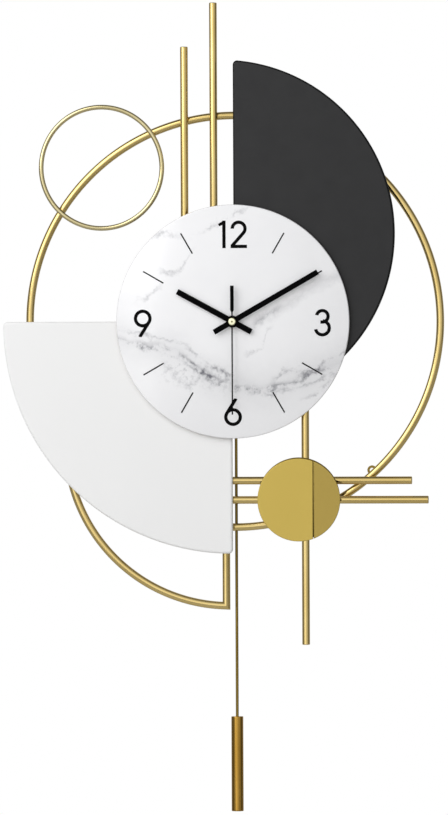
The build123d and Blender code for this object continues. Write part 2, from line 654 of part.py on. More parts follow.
def build_electrics(spots):
    """The bearing plate, the stepper motor's stator and coil, the circuit board and its crystal."""
    bearing = block((-22.0, 24.0), (-11.2, 17.0), BEARING_LAYER) - through(3.6, *spots["rotor"])
    holes = (((0, 0), SECOND_ARBOR), (spots["fourth"], ARBOR_RADIUS), (spots["knob"], KNOB_STEM_RADIUS))
    for spot, radius in holes:
        bearing = bearing - through(radius + ARBOR_PLAY, *spot)
    write("bearing_plate", bearing)
    loop = block((-16.0, 17.0), (8.0, 25.5), STATOR_LAYER) - block((-11.0, 6.0), (0, 19.0), (0, BEYOND))
    write("stator", loop - through(ROTOR_MAGNET_RADIUS + 0.5, *spots["rotor"]))
    lying = Pos(0, COIL_Y, COIL_DEPTH) * Rot(0, 90, 0)
    coil = lying * Cylinder(COIL_RADIUS, COIL_LENGTH)
    flange_x = (COIL_LENGTH + COIL_FLANGE_THICKNESS) / 2
    for x in (-flange_x, flange_x):
        coil = coil + lying * Pos(0, 0, x) * Cylinder(COIL_FLANGE_RADIUS, COIL_FLANGE_THICKNESS)
    write("motor_coil", coil)
    board = block((-26.0, -15.5), (-9.0, 24.0), BOARD_LAYER) - through(3.6, *spots["knob"])
    write("circuit_board", board)
    write("crystal", Pos(*CRYSTAL_SPOT) * Rot(90, 0, 0) * Cylinder(CRYSTAL_RADIUS, CRYSTAL_LENGTH))


def cell(x, y, depth, stands):
    """An AA cell with its positive nub."""
    body = Cylinder(CELL_RADIUS, CELL_LENGTH - CELL_NUB_LENGTH)
    body = chamfer(body.edges().filter_by(GeomType.CIRCLE), 0.5)
    nub = Pos(0, 0, CELL_LENGTH / 2 - 0.2) * Cylinder(CELL_NUB_RADIUS, CELL_NUB_LENGTH - 0.2)
    turn = Rot(90, 0, 0) if stands else Rot(0, 90, 0)
    return Pos(x, y, depth) * turn * (body + nub)


# ---- pendulum drive and pendulum ----

def build_drive():
    """The pendulum drive's case behind the hub plate, with its coil, board and pivot pin."""
    bottom = DRIVE_TOP - DRIVE_SIDE
    middle = DRIVE_TOP - DRIVE_SIDE / 2
    cover_front = DRIVE_BACK + CASE_WALL
    inside_front = DRIVE_FRONT - CASE_WALL
    outline, inside = case_outline(DRIVE_SIDE, middle)
    slot = block((-ARM_SLOT_HALF_WIDTH, ARM_SLOT_HALF_WIDTH), (bottom - 5, bottom + 5),
                 (cover_front, ARM_BACK + 2 * ARM_THICKNESS))
    shell = plate(outline, cover_front, DRIVE_FRONT - cover_front)
    shell = shell - plate(inside, cover_front, inside_front - cover_front) - slot
    for x in (-DRIVE_BOSS_X, DRIVE_BOSS_X):
        shell = shell + disc(DRIVE_BOSS_RADIUS, x, middle, DRIVE_FRONT, HUB_PLATE_BACK)
    write("drive_case", shell)
    bay = block((12.5, 26.4), (bottom + 2, DRIVE_TOP - 2), (0, BEYOND))
    write("drive_cover", plate(outline, DRIVE_BACK, CASE_WALL) - bay)
    write("pivot_pin", disc(PIVOT_PIN_RADIUS, 0, PIVOT_Y, cover_front, inside_front))
    write("drive_coil", tube(*DRIVE_COIL_RADII, 0, MAGNET_Y, DRIVE_COIL_BACK, inside_front))
    board_span = (bottom + 6, DRIVE_TOP - 6)
    write("drive_board", block((-26.0, -10.0), board_span, (DRIVE_COIL_BACK, DRIVE_COIL_BACK + 1)))


def build_cells():
    """The two cells and the four spring contacts at their ends."""
    middle = DRIVE_TOP - DRIVE_SIDE / 2
    drive_x = DRIVE_SIDE / 2 - CASE_WALL - CELL_RADIUS - 0.2
    drive_depth = DRIVE_BACK + CASE_WALL + CELL_RADIUS + 0.3
    write("battery", cell(0, MOVEMENT_CELL_Y, CASE_BACK + CELL_RADIUS + 0.4, False))
    write("drive_battery", cell(drive_x, middle, drive_depth, True))
    level_width = (MOVEMENT_CELL_Y - CONTACT_HALF_WIDTH, MOVEMENT_CELL_Y + CONTACT_HALF_WIDTH)
    upright_width = (drive_x - CONTACT_HALF_WIDTH, drive_x + CONTACT_HALF_WIDTH)
    contacts = []
    for side in (-1, 1):
        end = side * (CELL_LENGTH / 2 + CONTACT_THICKNESS)
        level_span = sorted((end, end + side * CONTACT_THICKNESS))
        upright_span = [middle + place for place in level_span]
        contacts.append(block(level_span, level_width, (25.5, 37.0)))
        contacts.append(block(upright_width, upright_span, (8.0, 20.0)))
    write("battery_contacts", *contacts)


def build_pendulum():
    """The swing arm with its magnet, the thin rod that hangs on it and the gilt bob."""
    arm_front = ARM_BACK + ARM_THICKNESS
    strip = Pos(0, (PIVOT_Y + HOOK_Y) / 2) * Rectangle(ARM_WIDTH, PIVOT_Y - HOOK_Y)
    ends = Pos(0, PIVOT_Y) * Circle(PIVOT_HUB_RADIUS + 1.2) + Pos(0, HOOK_Y) * Circle(ROD_LOOP_RADIUS)
    arm = plate(strip + ends, ARM_BACK, ARM_THICKNESS)
    arm = arm + disc(PIVOT_HUB_RADIUS, 0, PIVOT_Y, ARM_BACK - PIVOT_HUB_REACH, arm_front + PIVOT_HUB_REACH)
    arm = arm - through(PIVOT_BORE_RADIUS, 0, PIVOT_Y)
    pin_back = PENDULUM_DEPTH - 3.0
    pin = disc(HOOK_PIN_RADIUS, 0, HOOK_Y, pin_back, ARM_BACK)
    write("swing_arm", arm + pin + disc(HOOK_HEAD_RADIUS, 0, HOOK_Y, pin_back, pin_back + 0.8))
    write("drive_magnet", disc(MAGNET_RADIUS, 0, MAGNET_Y, ARM_BACK - MAGNET_THICKNESS, ARM_BACK))
    bob_bottom, bob_top = BOB_SPAN
    rod_top = HOOK_Y - 2.0
    half_loop = 1.4
    loop = disc(ROD_LOOP_RADIUS, 0, HOOK_Y, PENDULUM_DEPTH - half_loop, PENDULUM_DEPTH + half_loop)
    rod = Cylinder(PENDULUM_ROD_RADIUS, rod_top - bob_top)
    rod = Pos(0, (rod_top + bob_top) / 2, PENDULUM_DEPTH) * Rot(90, 0, 0) * rod
    write("pendulum_rod", rod + loop - through(HOOK_PIN_RADIUS, 0, HOOK_Y))
    bob = Cylinder(BOB_RADIUS, bob_top - bob_bottom)
    bob = chamfer(bob.edges().filter_by(GeomType.CIRCLE), BOB_CHAMFER)
    write("pendulum_bob", Pos(0, (bob_bottom + bob_top) / 2, PENDULUM_DEPTH) * Rot(90, 0, 0) * bob)


# ---- fixings ----

def build_hub():
    """The hub plate behind the panels, and the cross-head screws that hold the panels to it."""
    hub_plate = plate(Circle(HUB_PLATE_RADIUS) - Rectangle(HUB_WINDOW, HUB_WINDOW),
                      HUB_PLATE_BACK, HUB_PLATE_THICKNESS)
    screws = []
    long_way, narrow, deep = SCREW_SLOT
    head_back = HUB_PLATE_BACK - SCREW_HEAD_HEIGHT
    for spot in SCREW_SPOTS:
        hub_plate = hub_plate - through(SCREW_RADIUS, *spot)
        head = disc(SCREW_HEAD_RADIUS, *spot, head_back, HUB_PLATE_BACK)
        head = fillet(head.faces().sort_by(Axis.Z)[0].edges(), 1.0)
        cross = Pos(*spot, head_back) * (Box(long_way, narrow, deep) + Box(narrow, long_way, deep))
        screws.append(head - cross + disc(SCREW_RADIUS, *spot, HUB_PLATE_BACK, PANEL_BACK))
    write("hub_plate", hub_plate)
    write("panel_screws", *screws)


def build_hanger():
    """A U-shaped bracket on the hub plate, with a keyhole for the wall screw."""
    half = HANGER_HALF_WIDTH
    bracket = block((-half, half), HANGER_SPAN, (0, HUB_PLATE_BACK))
    half_inside = half - HANGER_SHEET
    bracket = bracket - block((-half_inside, half_inside), (0, BEYOND), (HANGER_SHEET, BEYOND))
    slot_half = KEYHOLE_SLOT_WIDTH / 2
    slot_top = HANGER_ABOVE_DIAL + KEYHOLE_SLOT_LENGTH
    slot_depth = (-1, 2 * HANGER_SHEET)
    keyhole = disc(KEYHOLE_RADIUS, 0, HANGER_ABOVE_DIAL, *slot_depth)
    keyhole = keyhole + disc(slot_half, 0, slot_top, *slot_depth)
    keyhole = keyhole + block((-slot_half, slot_half), (HANGER_ABOVE_DIAL, slot_top), slot_depth)
    write("hanger_bracket", bracket - keyhole)


def saddled(post, bar):
    """A post cut to sit on a round bar; the offcut beyond the bar is dropped."""
    return max((post - bar).solids(), key=lambda solid: solid.volume)


def build_fixings(big_ring):
    """The posts between frame and panels, the wall pads and the ring's eyelet."""
    posts = [saddled(disc(POST_RADIUS, *polar(LARGE_RING_RADIUS, angle), RING_DEPTH, PANEL_BACK), big_ring)
             for angle in FAN_POST_ANGLES + SHADE_POST_ANGLES]
    posts += [disc(POST_RADIUS, *spot, PANEL_BACK, BOARD_BACK) for spot in DIAL_POSTS]
    for x, y in ((UPPER_STUB_X, UPPER_CROSS_Y), (LOWER_STUB_X, LOWER_CROSS_Y)):
        rod = level(y, (0, 2 * x), ROD_DEPTH, False)
        posts.append(saddled(disc(STUB_RADIUS, x, y, ROD_DEPTH, BOARD_BACK), rod))
    write("standoff_posts", *posts)
    pads = [saddled(disc(BUMPER_RADIUS, *polar(LARGE_RING_RADIUS, angle), 0, RING_DEPTH), big_ring)
            for angle in BUMPER_ANGLES]
    write("wall_pads", *pads)
    front = RING_DEPTH - TUBE_RADIUS
    spot = polar(EYELET_RADIAL, EYELET_ANGLE)
    write("ring_eyelet", tube(EYELET_HOLE, EYELET_OUTER, *spot, front - EYELET_THICKNESS, front))


def main():
    os.makedirs("parts", exist_ok=True)
    big_ring = build_rods()
    build_quadrant()
    build_gold_disc()
    build_panels()
    build_dial()
    build_hands()
    spots = arbor_spots()
    build_hand_wheels(spots)
    build_step_train(spots)
    build_case(spots["knob"])
    build_electrics(spots)
    build_drive()
    build_cells()
    build_pendulum()
    build_hub()
    build_hanger()
    build_fixings(big_ring)


main()
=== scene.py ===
"""The looks of the pendulum wall clock: gilt bars, lacquered panels, a marble-pattern dial and soft light."""
import math

import bmesh
import bpy
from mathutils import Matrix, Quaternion, Vector


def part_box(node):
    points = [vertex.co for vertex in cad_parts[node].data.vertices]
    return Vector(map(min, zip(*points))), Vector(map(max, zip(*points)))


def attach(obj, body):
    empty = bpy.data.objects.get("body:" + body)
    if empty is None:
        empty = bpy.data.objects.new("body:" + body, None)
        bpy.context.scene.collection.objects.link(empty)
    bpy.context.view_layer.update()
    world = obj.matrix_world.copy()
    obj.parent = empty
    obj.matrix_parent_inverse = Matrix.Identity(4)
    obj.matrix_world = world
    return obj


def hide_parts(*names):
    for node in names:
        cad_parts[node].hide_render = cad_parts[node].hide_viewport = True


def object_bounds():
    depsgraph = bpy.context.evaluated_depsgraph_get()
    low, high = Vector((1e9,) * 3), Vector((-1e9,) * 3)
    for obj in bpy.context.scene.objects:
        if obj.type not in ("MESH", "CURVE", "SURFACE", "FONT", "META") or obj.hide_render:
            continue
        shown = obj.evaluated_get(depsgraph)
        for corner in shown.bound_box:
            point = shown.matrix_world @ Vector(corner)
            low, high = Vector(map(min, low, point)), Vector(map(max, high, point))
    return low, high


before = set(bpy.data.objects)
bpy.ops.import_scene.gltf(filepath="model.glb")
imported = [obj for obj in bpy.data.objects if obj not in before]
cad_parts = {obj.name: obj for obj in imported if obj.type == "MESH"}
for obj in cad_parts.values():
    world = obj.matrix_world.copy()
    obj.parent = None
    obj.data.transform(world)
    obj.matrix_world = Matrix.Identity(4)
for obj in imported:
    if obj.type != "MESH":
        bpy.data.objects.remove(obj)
CAD_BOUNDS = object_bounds()

MM = 0.001
FRAME_BODY = "frame"
SEGMENTS = 32
BURR = 0.1 * MM


# ---- places, all read from the frame ----

def low(node):
    return Vector(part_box(node)[0])


def high(node):
    return Vector(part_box(node)[1])


def middle(node):
    return (low(node) + high(node)) / 2


def size(node):
    return high(node) - low(node)


DIAL = middle("dial_face")


# ---- materials ----

def linear(red, green, blue):
    """A display colour, 0 to 255, as the linear colour that a shader takes."""
    def one(value):
        share = value / 255
        return share / 12.92 if share <= 0.04045 else ((share + 0.055) / 1.055) ** 2.4
    return one(red), one(green), one(blue), 1.0


class Surface:
    """A node material built up from named steps around one Principled shader."""

    def __init__(self, name, color, roughness, metallic=0.0):
        self.material = bpy.data.materials.new(name)
        self.material.use_nodes = True
        self.tree = self.material.node_tree
        self.shader = self.tree.nodes["Principled BSDF"]
        self.shader.inputs["Base Color"].default_value = color
        self.shader.inputs["Roughness"].default_value = roughness
        self.shader.inputs["Metallic"].default_value = metallic
        self.material.diffuse_color = color
        self.coords = self.tree.nodes.new("ShaderNodeTexCoord").outputs["Object"]
        self.height = None

    def node(self, kind):
        return self.tree.nodes.new(kind)

    def link(self, source, target):
        self.tree.links.new(source, target)

    def math(self, operation, first, second=None, third=None, clamp=False):
        """One step of arithmetic on numbers or sockets."""
        made = self.node("ShaderNodeMath")
        made.operation = operation
        made.use_clamp = clamp
        for slot, value in enumerate((first, second, third)):
            if value is None:
                continue
            if isinstance(value, (int, float)):
                made.inputs[slot].default_value = value
            else:
                self.link(value, made.inputs[slot])
        return made.outputs[0]

    def stretched(self, along):
        """Object coordinates squeezed by a factor along each axis."""
        made = self.node("ShaderNodeMapping")
        made.inputs["Scale"].default_value = along
        self.link(self.coords, made.inputs["Vector"])
        return made.outputs["Vector"]

    def noise(self, scale, detail=3.0, roughness=0.55, along=None):
        """Noise from 0 to 1, stretched along the axes if asked."""
        made = self.node("ShaderNodeTexNoise")
        made.inputs["Scale"].default_value = scale
        made.inputs["Detail"].default_value = detail
        made.inputs["Roughness"].default_value = roughness
        self.link(self.stretched(along) if along else self.coords, made.inputs["Vector"])
        return made.outputs["Fac"]

    def spread(self, value, low_value, high_value, from_low=0.3, from_high=0.7):
        """A value mapped onto a range."""
        made = self.node("ShaderNodeMapRange")
        made.inputs["From Min"].default_value = from_low
        made.inputs["From Max"].default_value = from_high
        made.inputs["To Min"].default_value = low_value
        made.inputs["To Max"].default_value = high_value
        self.link(value, made.inputs["Value"])
        return made.outputs["Result"]

    def blend(self, factor, first, second):
        """Two colours mixed; each is a colour or a socket."""
        made = self.node("ShaderNodeMix")
        made.data_type = "RGBA"
        colour_slots = [socket for socket in made.inputs if socket.type == "RGBA"]
        for slot, value in zip(colour_slots, (first, second)):
            if isinstance(value, tuple):
                slot.default_value = value
            else:
                self.link(value, slot)
        self.link(factor, made.inputs["Factor"])
        return next(socket for socket in made.outputs if socket.type == "RGBA")

    def color(self, socket):
        self.link(socket, self.shader.inputs["Base Color"])
        return self

    def rough(self, socket):
        self.link(socket, self.shader.inputs["Roughness"])
        return self

    def bump(self, height, strength, distance):
        """Add a layer of fine relief."""
        made = self.node("ShaderNodeBump")
        made.inputs["Strength"].default_value = strength
        made.inputs["Distance"].default_value = distance
        self.link(height, made.inputs["Height"])
        if self.height:
            self.link(self.height, made.inputs["Normal"])
        self.height = made.outputs["Normal"]
        self.link(self.height, self.shader.inputs["Normal"])
        return self

    def coat(self, weight, roughness):
        self.shader.inputs["Coat Weight"].default_value = weight
        self.shader.inputs["Coat Roughness"].default_value = roughness
        return self


def gilt(name, color, darker, roughness, grain, relief=0.1, vary=0.25):
    """Gold-coloured plating: fine draw lines along the grain, faint cloudiness and varied gloss."""
    made = Surface(name, color, roughness, metallic=1.0)
    cloud = made.noise(14.0, 4.0)
    made.color(made.blend(made.spread(cloud, 0.0, 1.0), color, darker))
    lines = made.noise(900.0, 2.0, along=grain)
    made.rough(made.spread(lines, roughness * (1 - vary), roughness * (1 + vary)))
    made.bump(lines, relief, 0.00003)
    made.bump(made.noise(1400.0, 2.0), relief * 0.5, 0.00002)
    return made.material


def lacquer(name, color, shade, roughness, peel, shine=0.5, edge=None):
    """Sprayed lacquer: slight orange peel, a faint drift of tone and, if asked, painted shade on the rounded
    rim where it turns away from the front.
    """
    made = Surface(name, color, roughness)
    tone = made.blend(made.spread(made.noise(5.0, 3.0), 0.0, 1.0), color, shade)
    # Painted shade: where the surface turns away from the front, on the rounded rim, the colour goes to the
    # edge colour.
    if edge:
        split = made.node("ShaderNodeSeparateXYZ")
        made.link(made.node("ShaderNodeTexCoord").outputs["Normal"], split.inputs[0])
        facing = made.math("ABSOLUTE", split.outputs[1])
        tone = made.blend(made.spread(facing, 0.0, 1.0, 0.92, 0.995), edge, tone)
    made.color(tone)
    made.rough(made.spread(made.noise(60.0, 3.0), roughness * 0.9, roughness * 1.15))
    made.bump(made.noise(420.0, 2.0), peel, 0.00005)
    made.bump(made.noise(2600.0, 2.0), peel, 0.00002)
    made.shader.inputs["Specular IOR Level"].default_value = shine
    return made.material


def plastic(name, color, roughness, grain=0.3, shine=0.5):
    """Moulded plastic or ink with a fine grain."""
    made = Surface(name, color, roughness)
    darker = tuple(channel * 0.8 for channel in color[:3]) + (1.0,)
    made.color(made.blend(made.spread(made.noise(30.0, 3.0), 0.0, 1.0), color, darker))
    made.rough(made.spread(made.noise(300.0, 2.0), roughness * 0.85, roughness * 1.15))
    made.bump(made.noise(3000.0, 2.0), grain, 0.00003)
    made.shader.inputs["Specular IOR Level"].default_value = shine
    return made.material


def steel(name, color, roughness, along=(1.0, 1.0, 0.03)):
    """Rolled sheet: fine lines one way and cloudy zinc bloom."""
    made = Surface(name, color, roughness, metallic=1.0)
    darker = tuple(channel * 0.72 for channel in color[:3]) + (1.0,)
    made.color(made.blend(made.spread(made.noise(40.0, 5.0), 0.0, 1.0), color, darker))
    lines = made.noise(1500.0, 3.0, along=along)
    made.rough(made.spread(lines, roughness * 0.75, roughness * 1.35))
    made.bump(lines, 0.12, 0.00003)
    return made.material


GOLD = linear(224, 200, 136)
GOLD_SHADE = linear(214, 187, 118)
UPRIGHT = (1.0, 1.0, 0.02)
LEVEL = (0.02, 1.0, 1.0)
ROUND = (0.4, 1.0, 0.4)
ANY_WAY = (1.0, 1.0, 0.1)
BAR_GLOSS = 0.13
DISC_GLOSS = 0.26
GILT_UPRIGHT = gilt("gilt_upright", GOLD, GOLD_SHADE, BAR_GLOSS, UPRIGHT)
GILT_LEVEL = gilt("gilt_level", GOLD, GOLD_SHADE, BAR_GLOSS, LEVEL)
GILT_ROUND = gilt("gilt_round", GOLD, GOLD_SHADE, BAR_GLOSS, ROUND)
GILT_PALE = gilt("gilt_pale", linear(216, 204, 160), linear(204, 190, 142), 0.14, ROUND)
GILT_BOB = gilt("gilt_bob_polished", linear(184, 145, 68), linear(170, 130, 54), 0.08, UPRIGHT, 0.05)
GILT_WIRE = gilt("gilt_wire_dull", linear(150, 128, 66), linear(130, 108, 52), 0.3, UPRIGHT)
DISC_WIDE = gilt("gilt_disc_wide", linear(193, 169, 88), linear(190, 166, 85), DISC_GLOSS, ANY_WAY,
                 relief=0.01, vary=0.05)
# The narrow plate is a darker gold than the wide one.
DISC_NARROW = gilt("gilt_disc_narrow", linear(169, 147, 78), linear(166, 144, 75), DISC_GLOSS, ANY_WAY,
                   relief=0.01, vary=0.05)
DISC_BACK = gilt("gilt_disc_backing", linear(110, 92, 40), linear(90, 74, 30), 0.4, ANY_WAY)
WHITE = lacquer("white_lacquer_fine", linear(248, 248, 248), linear(246, 246, 246), 0.42, 0.08)
# The edge colour, 12 12 13, is painted shade on the panel's rounded rim.
BLACK = lacquer("black_lacquer_painted_rim_shade", linear(49, 49, 50), linear(46, 46, 47), 0.55, 0.06, shine=0.22,
                edge=linear(12, 12, 13))
INK = plastic("printed_ink_fine", linear(7, 7, 8), 0.5, 0.1, shine=0.04)
HAND_BLACK = plastic("hand_lacquer_fine", linear(4, 4, 5), 0.5, 0.05, shine=0.03)
CASE_BLACK = plastic("movement_plastic_fine", linear(34, 34, 36), 0.45, 0.4)
GEAR_WHITE = plastic("gear_acetal_fine", linear(232, 230, 220), 0.35, 0.08)
TURNED_BRASS = gilt("turned_brass_fine", linear(226, 190, 110), linear(200, 160, 84), 0.22, (1.0, 0.1, 1.0))
RUBBER = plastic("rubber_fine", linear(38, 38, 38), 0.75, 0.5)
ZINC = steel("zinc_sheet_fine", linear(206, 206, 200), 0.34)
NICKEL = steel("nickel_strip_fine", linear(222, 220, 214), 0.22)
SOFT_IRON = steel("soft_iron_fine", linear(150, 150, 152), 0.4)
FERRITE = plastic("ferrite_fine", linear(70, 70, 74), 0.5, 0.4)
CAN = steel("crystal_can_fine", linear(225, 225, 225), 0.15)


def cap_brass():
    """Pale brass with painted shade in the dimple at its middle and around its rim."""
    made = Surface("cap_brass_painted_shade", linear(240, 238, 205), 0.3, metallic=1.0)
    split = made.node("ShaderNodeSeparateXYZ")
    made.link(made.coords, split.inputs[0])
    across = made.math("SUBTRACT", split.outputs[0], DIAL.x)
    up = made.math("SUBTRACT", split.outputs[2], DIAL.z)
    squares = made.math("ADD", made.math("MULTIPLY", across, across), made.math("MULTIPLY", up, up))
    reach = made.math("SQRT", squares)
    radius = size("centre_cap").x / 2
    # Painted shade: the colour darkens to 118 106 60 around the rim and in the dimple.
    rim = made.spread(reach, 0.0, 0.8, radius * 0.8, radius * 0.95)
    dimple = made.spread(reach, 1.0, 0.0, radius * 0.15, radius * 0.3)
    dark = made.math("ADD", rim, dimple, clamp=True)
    made.color(made.blend(dark, linear(244, 243, 208), linear(118, 106, 60)))
    made.rough(made.spread(made.noise(400.0, 2.0), 0.26, 0.36))
    made.bump(made.noise(900.0, 2.0), 0.06, 0.00002)
    return made.material


def windings():
    """Enamelled copper wire wound in close turns."""
    made = Surface("copper_winding_fine", linear(196, 112, 62), 0.3, metallic=1.0)
    turns = made.node("ShaderNodeTexWave")
    turns.bands_direction = "X"
    turns.inputs["Scale"].default_value = 900.0
    made.link(made.coords, turns.inputs["Vector"])
    made.color(made.blend(turns.outputs["Fac"], linear(120, 58, 26), linear(214, 128, 72)))
    made.rough(made.spread(made.noise(200.0), 0.22, 0.4))
    made.bump(turns.outputs["Fac"], 0.5, 0.0001)
    return made.material


def solder_mask():
    """Green board with faint copper tracks under the mask."""
    made = Surface("circuit_green_fine", linear(22, 84, 44), 0.3)
    tracks = made.node("ShaderNodeTexBrick")
    tracks.inputs["Scale"].default_value = 160.0
    tracks.inputs["Mortar Size"].default_value = 0.05
    tracks.inputs["Color1"].default_value = linear(20, 82, 42)
    tracks.inputs["Color2"].default_value = linear(16, 70, 36)
    tracks.inputs["Mortar"].default_value = linear(60, 128, 70)
    made.link(made.stretched((1.0, 1.0, 0.7)), tracks.inputs["Vector"])
    made.color(tracks.outputs["Color"])
    made.rough(made.spread(made.noise(300.0), 0.22, 0.38))
    made.bump(tracks.outputs["Fac"], 0.2, 0.00005)
    return made.material


def battery_sleeve(name, axis, start, end):
    """A plain dark sleeve with a gold band at the positive end of a cell that lies along an axis."""
    made = Surface(name, linear(44, 47, 52), 0.28)
    split = made.node("ShaderNodeSeparateXYZ")
    made.link(made.coords, split.inputs[0])
    place = made.spread(split.outputs[axis], 0.0, 1.0, start, end)
    band = made.math("GREATER_THAN", place, 0.74)
    nub = made.math("GREATER_THAN", place, 0.965)
    sleeve = made.blend(band, linear(40, 43, 48), linear(190, 150, 70))
    made.color(made.blend(nub, sleeve, linear(205, 205, 202)))
    made.rough(made.spread(made.noise(120.0), 0.24, 0.36))
    made.bump(made.noise(900.0), 0.06, 0.00003)
    return made.material


def fibreboard():
    """Raw fibreboard, flecked brown."""
    made = Surface("fibreboard_fine", linear(150, 122, 92), 0.8)
    fleck = made.noise(700.0, 4.0)
    made.color(made.blend(made.spread(fleck, 0.0, 1.0), linear(134, 106, 78), linear(172, 144, 112)))
    made.rough(made.spread(fleck, 0.7, 0.9))
    made.bump(fleck, 0.3, 0.0001)
    return made.material


# ---- the marble print ----
#
# Places on the dial are shares of its radius from its centre, x to the right and y up. Each vein is a run of
# points, its width, the kind of drift that makes it ragged, where it starts and stops across the dial, and
# its depth of tone.

MARBLE_WHITE = linear(249, 249, 251)
MARBLE_GREY = linear(118, 118, 126)
MAIN_VEIN = ((-1.0, -0.12), (-0.72, -0.2), (-0.4, -0.3), (-0.28, -0.42), (0.0, -0.53), (0.32, -0.56),
             (0.6, -0.48), (1.0, -0.3))
VEINS = (
    (MAIN_VEIN, 0.04, "ragged", (-1.2, 1.2), 0.6),
    (((-1.0, -0.05), (-0.7, -0.12), (-0.35, -0.24), (-0.1, -0.44), (0.1, -0.5), (0.6, -0.5), (1.0, -0.5)),
     0.03, "fine", (-1.1, 0.15), 0.45),
    (((-1.0, -0.2), (-0.7, -0.24), (-0.45, -0.34), (-0.2, -0.5), (0.1, -0.6), (0.6, -0.55), (1.0, -0.4)),
     0.03, "fine", (-1.1, 1.1), 0.4),
    (((-1.0, -0.3), (-0.6, -0.36), (-0.47, -0.5), (-0.34, -0.53), (-0.22, -0.4), (0.0, -0.48),
      (1.0, -0.5)), 0.05, "fine", (-0.62, -0.02), 0.5),
    (((-1.0, -0.6), (0.2, -0.56), (0.45, -0.44), (0.7, -0.42), (0.85, -0.32), (1.0, -0.26)),
     0.035, "fine", (0.3, 1.1), 0.55),
    (((-1.0, -0.7), (0.5, -0.68), (0.7, -0.62), (0.85, -0.5), (1.0, -0.4)),
     0.03, "ragged", (0.55, 1.0), 0.4),
    (((-1.0, 0.6), (-0.72, 0.68), (-0.6, 0.74), (-0.5, 0.74), (0.0, 0.75), (1.0, 0.8)),
     0.05, "fine", (-0.74, -0.42), 0.5),
    (((-1.0, 0.4), (-0.62, 0.43), (-0.49, 0.43), (-0.4, 0.5), (-0.35, 0.62), (0.0, 0.8), (1.0, 1.0)),
     0.035, "fine", (-0.68, -0.3), 0.45),
    (((-1.0, 0.1), (-0.8, 0.19), (-0.7, 0.24), (-0.64, 0.3), (0.0, 0.5), (1.0, 1.0)),
     0.03, "fine", (-0.88, -0.58), 0.4),
    (((-1.0, 0.7), (-0.3, 0.77), (-0.1, 0.85), (0.1, 0.95), (1.0, 1.0)), 0.03, "fine", (-0.36, 0.18), 0.35),
    (((-1.0, -0.3), (0.1, -0.28), (0.2, -0.24), (0.26, -0.19), (0.3, -0.08), (1.0, 0.3)),
     0.03, "fine", (0.08, 0.36), 0.45),
    (((-1.0, -0.3), (0.1, -0.06), (0.24, 0.02), (0.36, 0.1), (1.0, 0.4)),
     0.05, "ragged", (0.1, 0.45), 0.4),
)
BLOTCH = ((-1.0, -0.5), (-0.6, -0.45), (-0.35, -0.42), (-0.1, -0.5), (0.2, -0.7), (1.0, -0.9))
# STREAK is a soft grey streak that runs along the minute hand, just below it.
STREAK = ((-1.0, -0.6), (-0.2, -0.35), (0.2, -0.02), (0.5, 0.18), (0.85, 0.38), (1.0, 0.46))
FADE = 0.12


class DialPrint:
    """Soft lines drawn over the dial in a surface's nodes."""

    def __init__(self, surface, centre, radius):
        self.surface = surface
        split = surface.node("ShaderNodeSeparateXYZ")
        surface.link(surface.coords, split.inputs[0])
        self.across = surface.math("DIVIDE", surface.math("SUBTRACT", split.outputs[0], centre.x), radius)
        self.up = surface.math("DIVIDE", surface.math("SUBTRACT", split.outputs[2], centre.z), radius)

    def wander(self, scale, amount):
        """A signed drift that makes a line ragged."""
        noise = self.surface.noise(scale, 4.0, 0.6)
        return self.surface.math("MULTIPLY", self.surface.math("SUBTRACT", noise, 0.5), amount)

    def course(self, points):
        """A smooth curve through a few points, as height over the width of the dial."""
        share = self.surface.math("MULTIPLY_ADD", self.across, 0.5, 0.5)
        curve = self.surface.node("ShaderNodeFloatCurve")
        line = curve.mapping.curves[0]
        for index, (x, y) in enumerate(points):
            x, y = (x + 1) / 2, (y + 1) / 2
            if index < 2:
                line.points[index].location = (x, y)
            else:
                line.points.new(x, y)
        curve.mapping.update()
        self.surface.link(share, curve.inputs["Value"])
        return self.surface.math("MULTIPLY_ADD", curve.outputs[0], 2.0, -1.0)

    def vein(self, points, width, drift, reach=None, soft=1.0):
        """How strongly a vein shows at each place: 1 on its line, 0 beyond its width."""
        math = self.surface.math
        gap = math("ABSOLUTE", math("SUBTRACT", math("ADD", self.up, drift), self.course(points)))
        strength = math("POWER", math("SUBTRACT", 1.0, math("DIVIDE", gap, width), clamp=True), soft)
        if reach is None:
            return strength
        start = self.surface.spread(self.across, 0.0, 1.0, reach[0], reach[0] + FADE)
        stop = self.surface.spread(self.across, 1.0, 0.0, reach[1] - FADE, reach[1])
        return math("MULTIPLY", strength, math("MULTIPLY", start, stop))


